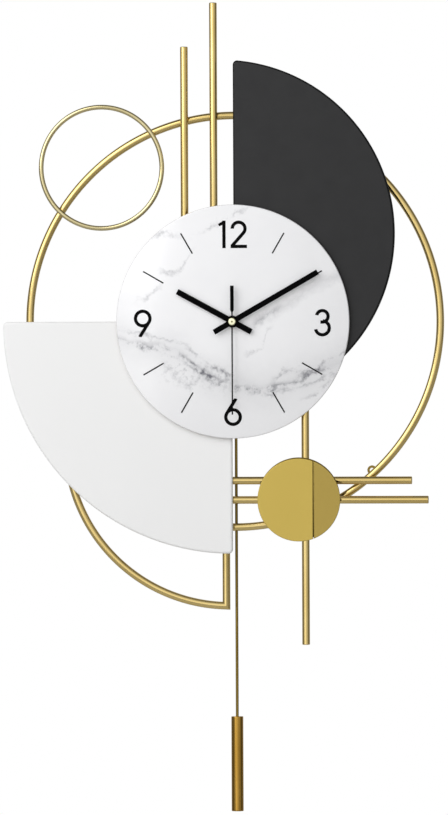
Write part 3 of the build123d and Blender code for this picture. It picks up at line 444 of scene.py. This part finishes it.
def marble():
    """White marble print of a ragged grey band across the lower half and fine branches, and a soft grey
    streak just below the minute hand.
    """
    made = Surface("marble_print_fine", linear(243, 243, 243), 0.16)
    made.coat(0.2, 0.1)
    drawn = DialPrint(made, DIAL, DIAL_RADIUS)
    drifts = {"ragged": made.math("ADD", drawn.wander(24.0, 0.14), drawn.wander(120.0, 0.12)),
              "fine": made.math("ADD", drawn.wander(36.0, 0.16), drawn.wander(160.0, 0.12))}
    patches = made.spread(made.noise(60.0, 5.0, 0.7), 0.05, 1.0, 0.42, 0.58)
    crumbs = made.spread(made.noise(150.0, 4.0, 0.7), 0.0, 1.0, 0.5, 0.62)
    haze = made.math("MULTIPLY", drawn.vein(MAIN_VEIN, 0.26, drifts["ragged"], soft=1.5), 0.16)
    blotch = made.math("MULTIPLY", drawn.vein(BLOTCH, 0.16, drifts["fine"], (-0.65, 0.0), 1.0), crumbs)
    streak = made.math("MULTIPLY", drawn.vein(STREAK, 0.1, drifts["fine"], (0.12, 1.1), 1.4), 0.2)
    clouds = made.math("MULTIPLY", made.spread(made.noise(9.0, 5.0), 0.0, 1.0, 0.5, 0.75), 0.05)
    shade = made.math("ADD", haze, made.math("ADD", clouds, streak))
    shade = made.math("ADD", shade, made.math("MULTIPLY", blotch, 0.34))
    for points, width, drift, reach, depth in VEINS:
        line = made.math("MULTIPLY", drawn.vein(points, width, drifts[drift], reach, 1.2), patches)
        shade = made.math("ADD", shade, made.math("MULTIPLY", line, depth), clamp=True)
    made.color(made.blend(shade, MARBLE_WHITE, MARBLE_GREY))
    made.rough(made.spread(made.noise(200.0), 0.13, 0.2))
    made.bump(made.noise(500.0), 0.02, 0.00002)
    return made.material


DIAL_RADIUS = size("dial_face").x / 2
MARBLE = marble()
CAP = cap_brass()
COPPER = windings()
BOARD_GREEN = solder_mask()
FIBREBOARD = fibreboard()


# ---- mesh helpers ----

def finished(name, builder, material, body, nodes):
    """Turn a bmesh into a smooth-shaded piece that rides on a body and stands for some nodes."""
    mesh = bpy.data.meshes.new(name)
    bmesh.ops.recalc_face_normals(builder, faces=builder.faces)
    for face in builder.faces:
        face.smooth = True
    builder.to_mesh(mesh)
    builder.free()
    mesh.set_sharp_from_angle(angle=math.radians(32))
    piece = bpy.data.objects.new(name, mesh)
    bpy.context.scene.collection.objects.link(piece)
    mesh.materials.append(material)
    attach(piece, body)
    if nodes:
        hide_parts(*nodes)
    return piece


def bridge(builder, first, second):
    """Quads between two closed loops of the same length."""
    count = len(first)
    for index in range(count):
        after = (index + 1) % count
        builder.faces.new((first[index], first[after], second[after], second[index]))


def skin(builder, loops):
    """Close the surface between loops in turn, where a loop of one point is a tip."""
    for one, two in zip(loops, loops[1:]):
        if len(one) > 1 and len(two) > 1:
            bridge(builder, one, two)
            continue
        tip, loop = (one[0], two) if len(one) == 1 else (two[0], one)
        for index, corner in enumerate(loop):
            builder.faces.new((tip, corner, loop[(index + 1) % len(loop)]))


def full_turn(count):
    """Evenly spaced angles around a circle."""
    return [2 * math.pi * index / count for index in range(count)]


def add_bar(builder, path, radius, closed=False, chamfer=0.6 * MM):
    """Sweep a round section along a path in an upright plane; corners are mitred and ends are chamfered."""
    count = len(path)
    across = Vector((0, 1, 0))
    loops = []

    def loop(centre, side, stretch, section):
        steps = full_turn(SEGMENTS)
        return [builder.verts.new(centre + side * (math.cos(a) * section * stretch)
                                  + across * (math.sin(a) * section)) for a in steps]

    for index, point in enumerate(path):
        before = path[index - 1] if index or closed else None
        after = path[(index + 1) % count] if index < count - 1 or closed else None
        incoming = (point - before).normalized() if before is not None else (after - point).normalized()
        outgoing = (after - point).normalized() if after is not None else incoming
        tangent = (incoming + outgoing).normalized()
        side = tangent.cross(across).normalized()
        stretch = 1 / max(0.2, tangent.dot(outgoing))
        if before is None:
            loops.append(loop(point, side, 1, radius - chamfer))
            point = point + tangent * chamfer
        if after is None:
            loops.append(loop(point - tangent * chamfer, side, 1, radius))
            loops.append(loop(point, side, 1, radius - chamfer))
            continue
        loops.append(loop(point, side, stretch, radius))
    for first, second in zip(loops, loops[1:]):
        bridge(builder, first, second)
    if closed:
        bridge(builder, loops[-1], loops[0])
    else:
        builder.faces.new(loops[0])
        builder.faces.new(list(reversed(loops[-1])))


def arc(centre, radius, start, stop, count):
    """Points along a circle in an upright plane, anticlockwise from three o'clock, both ends included."""
    steps = [math.radians(start + (stop - start) * index / (count - 1)) for index in range(count)]
    return [Vector((centre.x + radius * math.cos(a), centre.y, centre.z + radius * math.sin(a)))
            for a in steps]


def bar_piece(name, path, radius, material, nodes, closed=False, body=FRAME_BODY):
    builder = bmesh.new()
    add_bar(builder, path, radius, closed)
    return finished(name, builder, material, body, nodes)


def straight(node, axis, material, body=FRAME_BODY):
    """A straight round bar in a node's place, along one axis."""
    start, end, centre = low(node), high(node), middle(node)
    first, second = centre.copy(), centre.copy()
    first[axis], second[axis] = start[axis], end[axis]
    radius = size(node).y / 2
    return bar_piece(f"{node}_bar", [first, second], radius, material, [node], body=body)


def turned(name, profile, centre, axis, material, body, nodes, around=64):
    """Turn a profile of (radius, height) points around an axis through a centre."""
    builder = bmesh.new()
    spin = Vector((0, 0, 1)) if axis == "Z" else Vector((0, -1, 0))
    first = Vector((1, 0, 0))
    second = spin.cross(first)
    loops = []
    for radius, height in profile:
        if radius < 1e-7:
            loops.append([builder.verts.new(centre + spin * height)])
            continue
        hub = centre + spin * height
        loops.append([builder.verts.new(hub + (first * math.cos(a) + second * math.sin(a)) * radius)
                      for a in full_turn(around)])
    skin(builder, loops)
    return finished(name, builder, material, body, nodes)


def slab(builder, outline, back, front, edge, steps=6, flat=0.4 * MM):
    """A flat plate with a rounded front rim, from a closed loop of (x, z), anticlockwise from the front."""
    points = [Vector((x, z)) for x, z in outline]
    count = len(points)
    inward = []
    for index, point in enumerate(points):
        one = (point - points[index - 1]).normalized()
        two = (points[(index + 1) % count] - point).normalized()
        way = one + two
        normal = Vector((-way.y, way.x)).normalized()
        inward.append(normal / max(0.35, normal.dot(Vector((-two.y, two.x)))))

    def loop(inset, depth):
        return [builder.verts.new((point.x + way.x * inset, depth, point.y + way.y * inset))
                for point, way in zip(points, inward)]

    small = edge * 0.25
    rings = [loop(small + flat, back), loop(small, back), loop(0, back - small)]
    turns = [math.pi / 2 * index / steps for index in range(steps + 1)]
    rings += [loop(edge * (1 - math.cos(a)), front + edge * (1 - math.sin(a))) for a in turns]
    rings.append(loop(edge + flat, front))
    for first, second in zip(rings, rings[1:]):
        bridge(builder, first, second)
    builder.faces.new(list(reversed(rings[0])))
    builder.faces.new(rings[-1])


def islands(node):
    """The box of each separate solid of a node, found from its mesh with shared corners joined."""
    builder = bmesh.new()
    builder.from_mesh(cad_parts[node].data)
    bmesh.ops.remove_doubles(builder, verts=builder.verts, dist=0.000005)
    waiting = set(builder.verts)
    found = []
    while waiting:
        group, edge = set(), [waiting.pop()]
        while edge:
            vertex = edge.pop()
            group.add(vertex)
            for link in vertex.link_edges:
                other = link.other_vert(vertex)
                if other in waiting:
                    waiting.remove(other)
                    edge.append(other)
        corners = [vertex.co for vertex in group]
        found.append((Vector(tuple(min(c[i] for c in corners) for i in range(3))),
                      Vector(tuple(max(c[i] for c in corners) for i in range(3)))))
    builder.free()
    return sorted(found, key=lambda pair: (round(pair[0].x, 4), pair[0].z))


# ---- gilt frame ----

def build_rings():
    for node in ("large_ring", "small_ring"):
        radius = size(node).y / 2
        reach = size(node).x / 2 - radius
        path = arc(middle(node), reach, 0, 360, 321)[:-1]
        material = GILT_PALE if node == "small_ring" else GILT_ROUND
        bar_piece(f"{node}_bar", path, radius, material, [node], closed=True)


def build_rods():
    for node in ("long_rod", "short_rod", "lower_rod"):
        straight(node, 2, GILT_UPRIGHT)
    for node in ("upper_cross_rod", "lower_cross_rod"):
        straight(node, 0, GILT_LEVEL)


QUADRANT_ARC_END = 268.5


def build_quadrant():
    """The bent arc, mitred to the upright leg, with the level bar butted between them."""
    radius = size("quadrant_leg").x / 2
    reach = size("quadrant_arc").z - radius
    bend = middle("quadrant_arc")
    centre = Vector((low("quadrant_arc").x + radius + reach, bend.y, high("quadrant_arc").z))
    leg = middle("quadrant_leg")
    path = arc(centre, reach, 180, QUADRANT_ARC_END, 120)
    path.append(Vector((leg.x, centre.y, centre.z - reach)))
    path.append(Vector((leg.x, centre.y, high("quadrant_leg").z)))
    bar = middle("quadrant_bar")
    start = Vector((low("quadrant_bar").x - radius, centre.y, bar.z))
    end = Vector((high("quadrant_bar").x + radius, centre.y, bar.z))
    bar_piece("quadrant_outline", path, radius, GILT_ROUND, ["quadrant_arc", "quadrant_leg"])
    bar_piece("quadrant_crossbar", [start, end], radius, GILT_LEVEL, ["quadrant_bar"])


def build_gold_disc():
    """The two face plates with a fine bevel, and the backing plate behind their seam."""
    centre = (low("gold_disc_left") + high("gold_disc_right")) / 2
    radius = size("gold_disc_left").z / 2
    front, back = low("gold_disc_left").y, high("gold_disc_left").y
    edges = {"gold_disc_left": (high("gold_disc_left").x, 1, DISC_WIDE),
             "gold_disc_right": (low("gold_disc_right").x, -1, DISC_NARROW)}
    for node, (seam, side, material) in edges.items():
        half_angle = math.acos((seam - centre.x) / radius)
        start, stop = (half_angle, 2 * math.pi - half_angle) if side > 0 else (-half_angle, half_angle)
        steps = [start + (stop - start) * index / 180 for index in range(181)]
        outline = [(centre.x + radius * math.cos(a), centre.z + radius * math.sin(a)) for a in steps]
        builder = bmesh.new()
        slab(builder, outline, back, front, 0.25 * MM, steps=3)
        finished(f"{node}_plate", builder, material, FRAME_BODY, [node])
    round_plate("gold_disc_backing", DISC_BACK, 0.2 * MM)


def round_plate(node, material, edge, hole=0.0, around=192, body=FRAME_BODY):
    """A turned plate in a node's place, with a bevelled front rim and an optional hole."""
    start, end, centre = low(node), high(node), middle(node)
    centre.y = end.y
    radius, thick = size(node).x / 2, end.y - start.y
    inner = hole
    profile = [(inner, 0.0), (radius - BURR, 0.0), (radius, BURR), (radius, thick - edge),
               (radius - edge * 0.3, thick - edge * 0.3), (radius - edge, thick), (inner, thick)]
    if inner:
        profile.append((inner, 0.0))
    return turned(f"{node}_plate", profile, centre, "Y", material, body, [node], around)


# ---- painted panels ----

PANEL_RIM = 2.3 * MM
PANEL_CORNER = 4.5 * MM
HUB_NOTCH = 42.0 * MM
FAN_RADIUS = 236.6 * MM
SHADE_RADIUS = 179.2 * MM


def points_on(centre, radius, start, stop, count):
    """Points along a circle between two angles in radians."""
    steps = [start + (stop - start) * index / (count - 1) for index in range(count)]
    return [(centre[0] + radius * math.cos(a), centre[1] + radius * math.sin(a)) for a in steps]


def angle_to(centre, point):
    return math.atan2(point[1] - centre[1], point[0] - centre[0])


def build_white_panel():
    """A quarter fan: level top, upright right side, one long arc and a round notch at the hub."""
    start, end = low("white_panel"), high("white_panel")
    arc_centre = (start.x + FAN_RADIUS, start.z + FAN_RADIUS)
    inner = FAN_RADIUS - PANEL_CORNER
    top, right = end.z - PANEL_CORNER, end.x - PANEL_CORNER
    left_corner = (arc_centre[0] - math.sqrt(inner ** 2 - (top - arc_centre[1]) ** 2), top)
    low_corner = (right, arc_centre[1] - math.sqrt(inner ** 2 - (right - arc_centre[0]) ** 2))
    left_turn = angle_to(arc_centre, left_corner) % (2 * math.pi)
    low_turn = angle_to(arc_centre, low_corner) % (2 * math.pi)
    outline = points_on(left_corner, PANEL_CORNER, math.pi / 2, left_turn, 14)
    outline += points_on(arc_centre, FAN_RADIUS, left_turn, low_turn, 220)[1:-1]
    outline += points_on(low_corner, PANEL_CORNER, low_turn, 2 * math.pi, 14)
    hub = (DIAL.x, DIAL.z)
    right_side = math.sqrt(HUB_NOTCH ** 2 - (end.x - hub[0]) ** 2)
    top_side = math.sqrt(HUB_NOTCH ** 2 - (end.z - hub[1]) ** 2)
    first = angle_to(hub, (end.x, hub[1] - right_side)) % (2 * math.pi)
    last = angle_to(hub, (hub[0] - top_side, end.z)) % (2 * math.pi)
    outline += points_on(hub, HUB_NOTCH, first, last, 40)
    builder = bmesh.new()
    slab(builder, outline, end.y, start.y, PANEL_RIM)
    finished("white_panel_slab", builder, WHITE, FRAME_BODY, ["white_panel"])


def build_black_panel():
    """A shade with a straight left side and one long arc, notched at the hub."""
    start, end = low("black_panel"), high("black_panel")
    arc_centre = (end.x - SHADE_RADIUS, middle("black_panel").z)
    inner = SHADE_RADIUS - PANEL_CORNER
    side = start.x + PANEL_CORNER
    rise = math.sqrt(inner ** 2 - (side - arc_centre[0]) ** 2)
    lower, upper = (side, arc_centre[1] - rise), (side, arc_centre[1] + rise)
    turn = angle_to(arc_centre, upper)
    outline = points_on(lower, PANEL_CORNER, -math.pi, -turn, 14)
    outline += points_on(arc_centre, SHADE_RADIUS, -turn, turn, 260)[1:-1]
    outline += points_on(upper, PANEL_CORNER, turn, math.pi, 14)
    hub = (DIAL.x, DIAL.z)
    rise = math.sqrt(HUB_NOTCH ** 2 - (start.x - hub[0]) ** 2)
    first = angle_to(hub, (start.x, hub[1] + rise))
    outline += points_on(hub, HUB_NOTCH, first, -first, 60)
    builder = bmesh.new()
    slab(builder, outline, end.y, start.y, PANEL_RIM)
    finished("black_panel_slab", builder, BLACK, FRAME_BODY, ["black_panel"])


# ---- dial and hands ----

DIAL_HOLE = 4.15 * MM


def build_dial():
    round_plate("dial_board", FIBREBOARD, 0.2 * MM, DIAL_HOLE)
    round_plate("dial_face", MARBLE, 1.6 * MM, DIAL_HOLE, around=256)


def rotated(point, pivot, angle):
    """A point of a hand drawn along +X, turned to its angle about the hub."""
    cos, sin = math.cos(angle), math.sin(angle)
    along, side, depth = point
    return Vector((pivot.x + along * cos - side * sin, depth, pivot.z + along * sin + side * cos))


def add_blade(builder, pivot, angle, stations, back, front, edge, ridge):
    """A hand's blade along its stations of (distance, half width), with bevelled edges and a slight ridge."""
    loops = []
    for index, (x, half) in enumerate(stations):
        places = [(x, 0.0)]
        if index == 0:
            places = [(x, edge), (x + edge, 0.0)]
        elif index == len(stations) - 1:
            places = [(x - edge, 0.0), (x, edge)]
        for place, drop in places:
            rim = half - drop
            top = front + drop
            section = [(-rim, back), (-rim, front + edge), (-rim + edge, top), (0, top - ridge),
                       (rim - edge, top), (rim, front + edge), (rim, back)]
            loops.append([builder.verts.new(rotated((place, side, depth), pivot, angle))
                          for side, depth in section])
    for first, second in zip(loops, loops[1:]):
        bridge(builder, first, second)
    builder.faces.new(loops[0])
    builder.faces.new(list(reversed(loops[-1])))


def add_washer(builder, pivot, inner, outer, back, front, edge, around=64):
    """A round boss with bevelled rims."""
    profile = [(inner, back), (outer - edge, back), (outer, back - edge), (outer, front + edge),
               (outer - edge, front), (inner, front)]
    loops = [[builder.verts.new((pivot.x + radius * math.cos(a), depth, pivot.z + radius * math.sin(a)))
              for a in full_turn(around)] for radius, depth in profile]
    for first, second in zip(loops, loops[1:] + loops[:1]):
        bridge(builder, first, second)


HANDS = {
    "hour_hand": dict(body="hour_body", angle=151.4, reach=64.9 * MM, tail=22.2 * MM, width=5.9 * MM,
                      bore=2.5 * MM),
    "minute_hand": dict(body="minute_body", angle=29.9, reach=101.9 * MM, tail=21.8 * MM, width=5.6 * MM,
                        bore=1.5 * MM),
}
HAND_HUB = 6.2 * MM
HAND_EDGE = 0.12 * MM
HAND_RIDGE = 0.1 * MM


def build_hands():
    """The hour and minute hands, each a ridged blade with a round boss."""
    pivot = DIAL
    for node, hand in HANDS.items():
        start, end = low(node), high(node)
        quarter = (end.y - start.y) / 4
        builder = bmesh.new()
        stations = [(-hand["tail"], hand["width"] / 2), (hand["reach"], hand["width"] / 2)]
        add_blade(builder, pivot, math.radians(hand["angle"]), stations, start.y + 3 * quarter,
                  start.y + quarter, HAND_EDGE, HAND_RIDGE)
        add_washer(builder, pivot, hand["bore"], HAND_HUB, end.y, start.y, HAND_EDGE)
        finished(f"{node}_blade", builder, HAND_BLACK, hand["body"], [node])


NEEDLE_HALF = 0.7 * MM
NEEDLE_TAIL_HALF = 1.85 * MM
NEEDLE_TAIL_START = 12.0 * MM
NEEDLE_TAPER_START = 9.5 * MM
NEEDLE_EDGE = 0.08 * MM
NEEDLE_BORE = 0.6 * MM
CAP_DOME = 0.9 * MM
CAP_DIMPLE = 0.9 * MM
CAP_DIMPLE_DEPTH = 0.4 * MM


def build_second_hand():
    """The thin needle with its wide tail and hub."""
    start, end = low("second_hand"), high("second_hand")
    reach, tail = DIAL.z - start.z, end.z - DIAL.z
    hub = size("second_hand").x / 2
    builder = bmesh.new()
    stations = [(-tail, NEEDLE_TAIL_HALF), (-NEEDLE_TAIL_START, NEEDLE_TAIL_HALF),
                (-NEEDLE_TAPER_START, NEEDLE_HALF), (reach, NEEDLE_HALF)]
    add_blade(builder, DIAL, -math.pi / 2, stations, end.y, start.y, NEEDLE_EDGE, 0.0)
    add_washer(builder, DIAL, NEEDLE_BORE, hub, end.y, start.y, NEEDLE_EDGE)
    finished("second_hand_needle", builder, HAND_BLACK, "seconds_body", ["second_hand"])


def build_cap():
    """The domed cap over the hands, with a dimple at its middle."""
    back = high("centre_cap").y
    radius, tall = size("centre_cap").x / 2, back - low("centre_cap").y
    turns = [math.pi / 2 * index / 8 for index in range(1, 9)]
    profile = [(0.0, 0.0), (radius, 0.0), (radius, tall - CAP_DOME)]
    profile += [(radius - CAP_DOME * (1 - math.cos(a)), tall - CAP_DOME * (1 - math.sin(a))) for a in turns]
    floor = tall - CAP_DIMPLE_DEPTH
    profile += [(CAP_DIMPLE, tall), (CAP_DIMPLE * 0.8, tall - CAP_DIMPLE_DEPTH * 0.75),
                (CAP_DIMPLE * 0.4, floor), (0.0, floor)]
    centre = Vector((DIAL.x, back, DIAL.z))
    turned("centre_cap_dome", profile, centre, "Y", CAP, "seconds_body", ["centre_cap"], 64)


# ---- pendulum ----

PENDULUM_WIRE = 1.5 * MM
LOOP_WIRE = 1.4 * MM
BOB_CHAMFER = 0.5 * MM
SOCKET_DEPTH = 0.6 * MM


def build_pendulum():
    """The rod with the loop that it hangs by, and the round bar at its end."""
    rod_low, rod_high = low("pendulum_rod"), high("pendulum_rod")
    x, y = middle("pendulum_rod").x, middle("pendulum_rod").y
    loop_radius = size("pendulum_rod").x / 2 - LOOP_WIRE
    loop_centre = Vector((x, y, rod_high.z - loop_radius - LOOP_WIRE))
    builder = bmesh.new()
    add_bar(builder, arc(loop_centre, loop_radius, 0, 360, 49)[:-1], LOOP_WIRE, closed=True)
    top = Vector((x, y, loop_centre.z - loop_radius))
    add_bar(builder, [top, Vector((x, y, rod_low.z))], PENDULUM_WIRE, chamfer=0.1 * MM)
    finished("pendulum_wire", builder, GILT_WIRE, "pendulum_body", ["pendulum_rod"])
    radius, tall = size("pendulum_bob").x / 2, size("pendulum_bob").z
    rim, step = radius - BOB_CHAMFER, BOB_CHAMFER * 0.3
    hollow = tall - SOCKET_DEPTH
    profile = [(0.0, 0.0), (rim, 0.0), (radius - step, step), (radius, BOB_CHAMFER),
               (radius, 2 * BOB_CHAMFER), (radius, tall - 2 * BOB_CHAMFER), (radius, tall - BOB_CHAMFER),
               (radius - step, tall - step), (rim, tall), (PENDULUM_WIRE * 1.5, tall),
               (PENDULUM_WIRE * 1.2, hollow), (0.0, hollow)]
    centre = middle("pendulum_bob")
    centre.z = low("pendulum_bob").z
    turned("pendulum_weight", profile, centre, "Z", GILT_BOB, "pendulum_body",
           ["pendulum_bob"], 96)


# ---- posts and pads ----

def build_posts():
    """Smooth round posts, each in the place of one of the CAD posts or pads."""
    kinds = (("standoff_posts", GILT_ROUND, "gilt_tube", 0.2 * MM), ("wall_pads", RUBBER, "rubber", 0.5 * MM))
    for node, material, slot, edge in kinds:
        builder = bmesh.new()
        for start, end in islands(node):
            radius = (end.x - start.x) / 2
            centre = (start + end) / 2
            profile = [(0.0, end.y), (radius - edge, end.y), (radius, end.y - edge), (radius, start.y + edge),
                       (radius - edge, start.y), (0.0, start.y)]
            add_turned(builder, profile, centre)
        finished(f"{node}_round", builder, material, FRAME_BODY, [node])


def add_turned(builder, profile, centre, around=40):
    """Turn a profile of (radius, depth) around an axis that comes out of the wall."""
    loops = []
    for radius, depth in profile:
        if radius < 1e-7:
            loops.append([builder.verts.new((centre.x, depth, centre.z))])
        else:
            loops.append([builder.verts.new((centre.x + radius * math.cos(a), depth,
                                             centre.z + radius * math.sin(a))) for a in full_turn(around)])
    skin(builder, loops)


# ---- better materials for the CAD nodes that stay ----

def cell_axis(node):
    """The axis that a cell lies along, and where it starts and ends."""
    extent = size(node)
    axis = max(range(3), key=lambda index: extent[index])
    return axis, low(node)[axis], high(node)[axis]


def paint_cad():
    """Give every CAD node that stays its real material."""
    finishes = {
        "numerals": INK, "hour_marks": INK,
        "hub_plate": ZINC, "hanger_bracket": ZINC, "panel_screws": NICKEL,
        "ring_eyelet": GILT_WIRE, "movement_case": CASE_BLACK, "movement_cover": CASE_BLACK,
        "threaded_bush": TURNED_BRASS, "hex_nut": TURNED_BRASS, "rubber_washer": RUBBER,
        "bearing_plate": GEAR_WHITE,
        "stator": SOFT_IRON, "motor_coil": COPPER, "circuit_board": BOARD_GREEN, "crystal": CAN,
        "battery": battery_sleeve("cell_sleeve_level", *cell_axis("battery")),
        "battery_contacts": NICKEL,
        "drive_case": CASE_BLACK, "drive_cover": CASE_BLACK, "drive_coil": COPPER, "drive_board": BOARD_GREEN,
        "drive_battery": battery_sleeve("cell_sleeve_upright", *cell_axis("drive_battery")),
        "pivot_pin": NICKEL,
        "hour_wheel": GEAR_WHITE, "minute_wheel": GEAR_WHITE, "seconds_wheel": GEAR_WHITE,
        "motion_wheel": GEAR_WHITE, "third_wheel": GEAR_WHITE, "fourth_wheel": GEAR_WHITE, "rotor": FERRITE,
        "setting_knob": GEAR_WHITE, "swing_arm": ZINC, "drive_magnet": FERRITE,
    }
    for node, material in finishes.items():
        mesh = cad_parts[node].data
        for index in range(len(mesh.materials)):
            mesh.materials[index] = material


# ---- stage: floor, lights, studio and camera ----

def staged_plane(name, corners, material):
    mesh = bpy.data.meshes.new(name)
    mesh.from_pydata(corners, [], [(0, 1, 2, 3)])
    mesh.materials.append(material)
    plane = bpy.data.objects.new(name, mesh)
    bpy.context.scene.collection.objects.link(plane)


def soft_light(name, place, aim, width, height, power):
    data = bpy.data.lights.new(name, "AREA")
    data.shape = "RECTANGLE"
    data.size, data.size_y = width, height
    data.energy = power
    light = bpy.data.objects.new(name, data)
    light.location = place
    light.rotation_euler = (Vector(aim) - Vector(place)).to_track_quat("-Z", "Y").to_euler()
    bpy.context.scene.collection.objects.link(light)


# Each light's place is across, out from the wall, and up from the clock's middle.
LIGHTS = {
    "front_box": dict(place=(-0.6, -4.0, 0.2), width=2.6, height=2.6, power=6.0),
    "key_left": dict(place=(-1.6, -3.2, 0.5), width=0.6, height=3.6, power=8.0),
    "upper_left": dict(place=(-0.95, -1.0, 0.85), width=1.3, height=1.3, power=10.5),
}
FLOOR_DROP = 0.9
FLOOR_REACH = 12.0
FRONT_TO_BACK = ((-1.0, 0.96), (-0.72, 0.93), (-0.38, 0.34), (0.0, 0.1), (0.4, 0.3), (1.0, 0.7))
LEFT_TO_RIGHT = ((-1.0, 1.0), (0.25, 1.0), (0.6, 0.72), (0.8, 0.95), (1.0, 1.0))
DOWN_TO_UP = ((-1.0, 0.3), (-0.5, 0.5), (0.0, 1.0), (0.5, 1.0), (1.0, 0.8))


def build_stage():
    """A pale floor well below the clock, soft boxes in front and to the left, and the studio all round."""
    centre = (CAD_BOUNDS[0] + CAD_BOUNDS[1]) / 2
    ground = CAD_BOUNDS[0].z - FLOOR_DROP
    floor = [(x, y, ground) for x, y in ((-FLOOR_REACH, -FLOOR_REACH), (FLOOR_REACH, -FLOOR_REACH),
                                         (FLOOR_REACH, FLOOR_REACH), (-FLOOR_REACH, FLOOR_REACH))]
    floor_paint = lacquer("floor_pale", linear(250, 250, 248), linear(246, 246, 244), 0.6, 0.02)
    staged_plane("floor", floor, floor_paint)
    for name, light in LIGHTS.items():
        across, out, rise = light["place"]
        soft_light(name, (across, out, centre.z + rise), centre, light["width"], light["height"],
                   light["power"])
    build_world()


def world_ramp(tree, source, levels):
    """Brightness along one direction, from -1 to 1."""
    shift = tree.nodes.new("ShaderNodeMapRange")
    shift.inputs["From Min"].default_value = -1.0
    tree.links.new(source, shift.inputs["Value"])
    made = tree.nodes.new("ShaderNodeValToRGB")
    stops = made.color_ramp.elements
    while len(stops) < len(levels):
        stops.new(0.5)
    for stop, (place, level) in zip(stops, levels):
        stop.position = (place + 1) / 2
        stop.color = (level, level, level, 1)
    tree.links.new(shift.outputs["Result"], made.inputs["Fac"])
    return made.outputs["Color"]


def world_product(tree, first, second):
    """Two brightnesses multiplied."""
    made = tree.nodes.new("ShaderNodeMix")
    made.data_type = "RGBA"
    made.blend_type = "MULTIPLY"
    made.inputs["Factor"].default_value = 1.0
    colour_slots = [socket for socket in made.inputs if socket.type == "RGBA"]
    tree.links.new(first, colour_slots[0])
    tree.links.new(second, colour_slots[1])
    return next(socket for socket in made.outputs if socket.type == "RGBA")


def build_world():
    """White to look at, and to light by: bright in front, dim at the sides and from below, and mid behind."""
    world = bpy.data.worlds.new("studio")
    world.use_nodes = True
    tree = world.node_tree
    coords = tree.nodes.new("ShaderNodeTexCoord")
    split = tree.nodes.new("ShaderNodeSeparateXYZ")
    tree.links.new(coords.outputs["Generated"], split.inputs[0])
    depth = world_ramp(tree, split.outputs[1], FRONT_TO_BACK)
    height = world_ramp(tree, split.outputs[2], DOWN_TO_UP)
    side = world_ramp(tree, split.outputs[0], LEFT_TO_RIGHT)
    lighting = tree.nodes["Background"]
    level = world_product(tree, world_product(tree, depth, height), side)
    tree.links.new(level, lighting.inputs["Color"])
    seen = tree.nodes.new("ShaderNodeBackground")
    seen.inputs["Color"].default_value = (1, 1, 1, 1)
    path = tree.nodes.new("ShaderNodeLightPath")
    choice = tree.nodes.new("ShaderNodeMixShader")
    tree.links.new(path.outputs["Is Camera Ray"], choice.inputs["Fac"])
    tree.links.new(lighting.outputs[0], choice.inputs[1])
    tree.links.new(seen.outputs[0], choice.inputs[2])
    tree.links.new(choice.outputs[0], tree.nodes["World Output"].inputs["Surface"])
    bpy.context.scene.world = world


CAMERA_AZIMUTH = 5.0
CAMERA_ELEVATION = 1.0
CAMERA_ROLL = 0.25
CAMERA_DISTANCE = 9.0
VIEW_HEIGHT = 0.8395
VIEW_CENTRE_OFFSET = Vector((-0.0093, 0.0, -0.0885))


def build_camera():
    """A long lens in front, a little to the right and above, aimed below the dial."""
    data = bpy.data.cameras.new("camera")
    data.sensor_width = 36.0
    data.lens = data.sensor_width * CAMERA_DISTANCE / VIEW_HEIGHT
    data.clip_end = 50.0
    camera = bpy.data.objects.new("camera", data)
    target = Vector((DIAL.x, low("dial_face").y, DIAL.z)) + VIEW_CENTRE_OFFSET
    azimuth, elevation = math.radians(CAMERA_AZIMUTH), math.radians(CAMERA_ELEVATION)
    back = Vector((math.sin(azimuth) * math.cos(elevation), -math.cos(azimuth) * math.cos(elevation),
                   math.sin(elevation)))
    camera.location = target + back * CAMERA_DISTANCE
    camera.rotation_mode = "QUATERNION"
    turn = (-back).to_track_quat("-Z", "Y")
    camera.rotation_quaternion = turn @ Quaternion((0, 0, 1), math.radians(-CAMERA_ROLL))
    bpy.context.scene.collection.objects.link(camera)
    bpy.context.scene.camera = camera
    bpy.context.scene.view_settings.view_transform = "Standard"


build_rings()
build_rods()
build_quadrant()
build_gold_disc()
build_white_panel()
build_black_panel()
build_dial()
build_hands()
build_second_hand()
build_cap()
build_pendulum()
build_posts()
paint_cad()
build_stage()
build_camera()
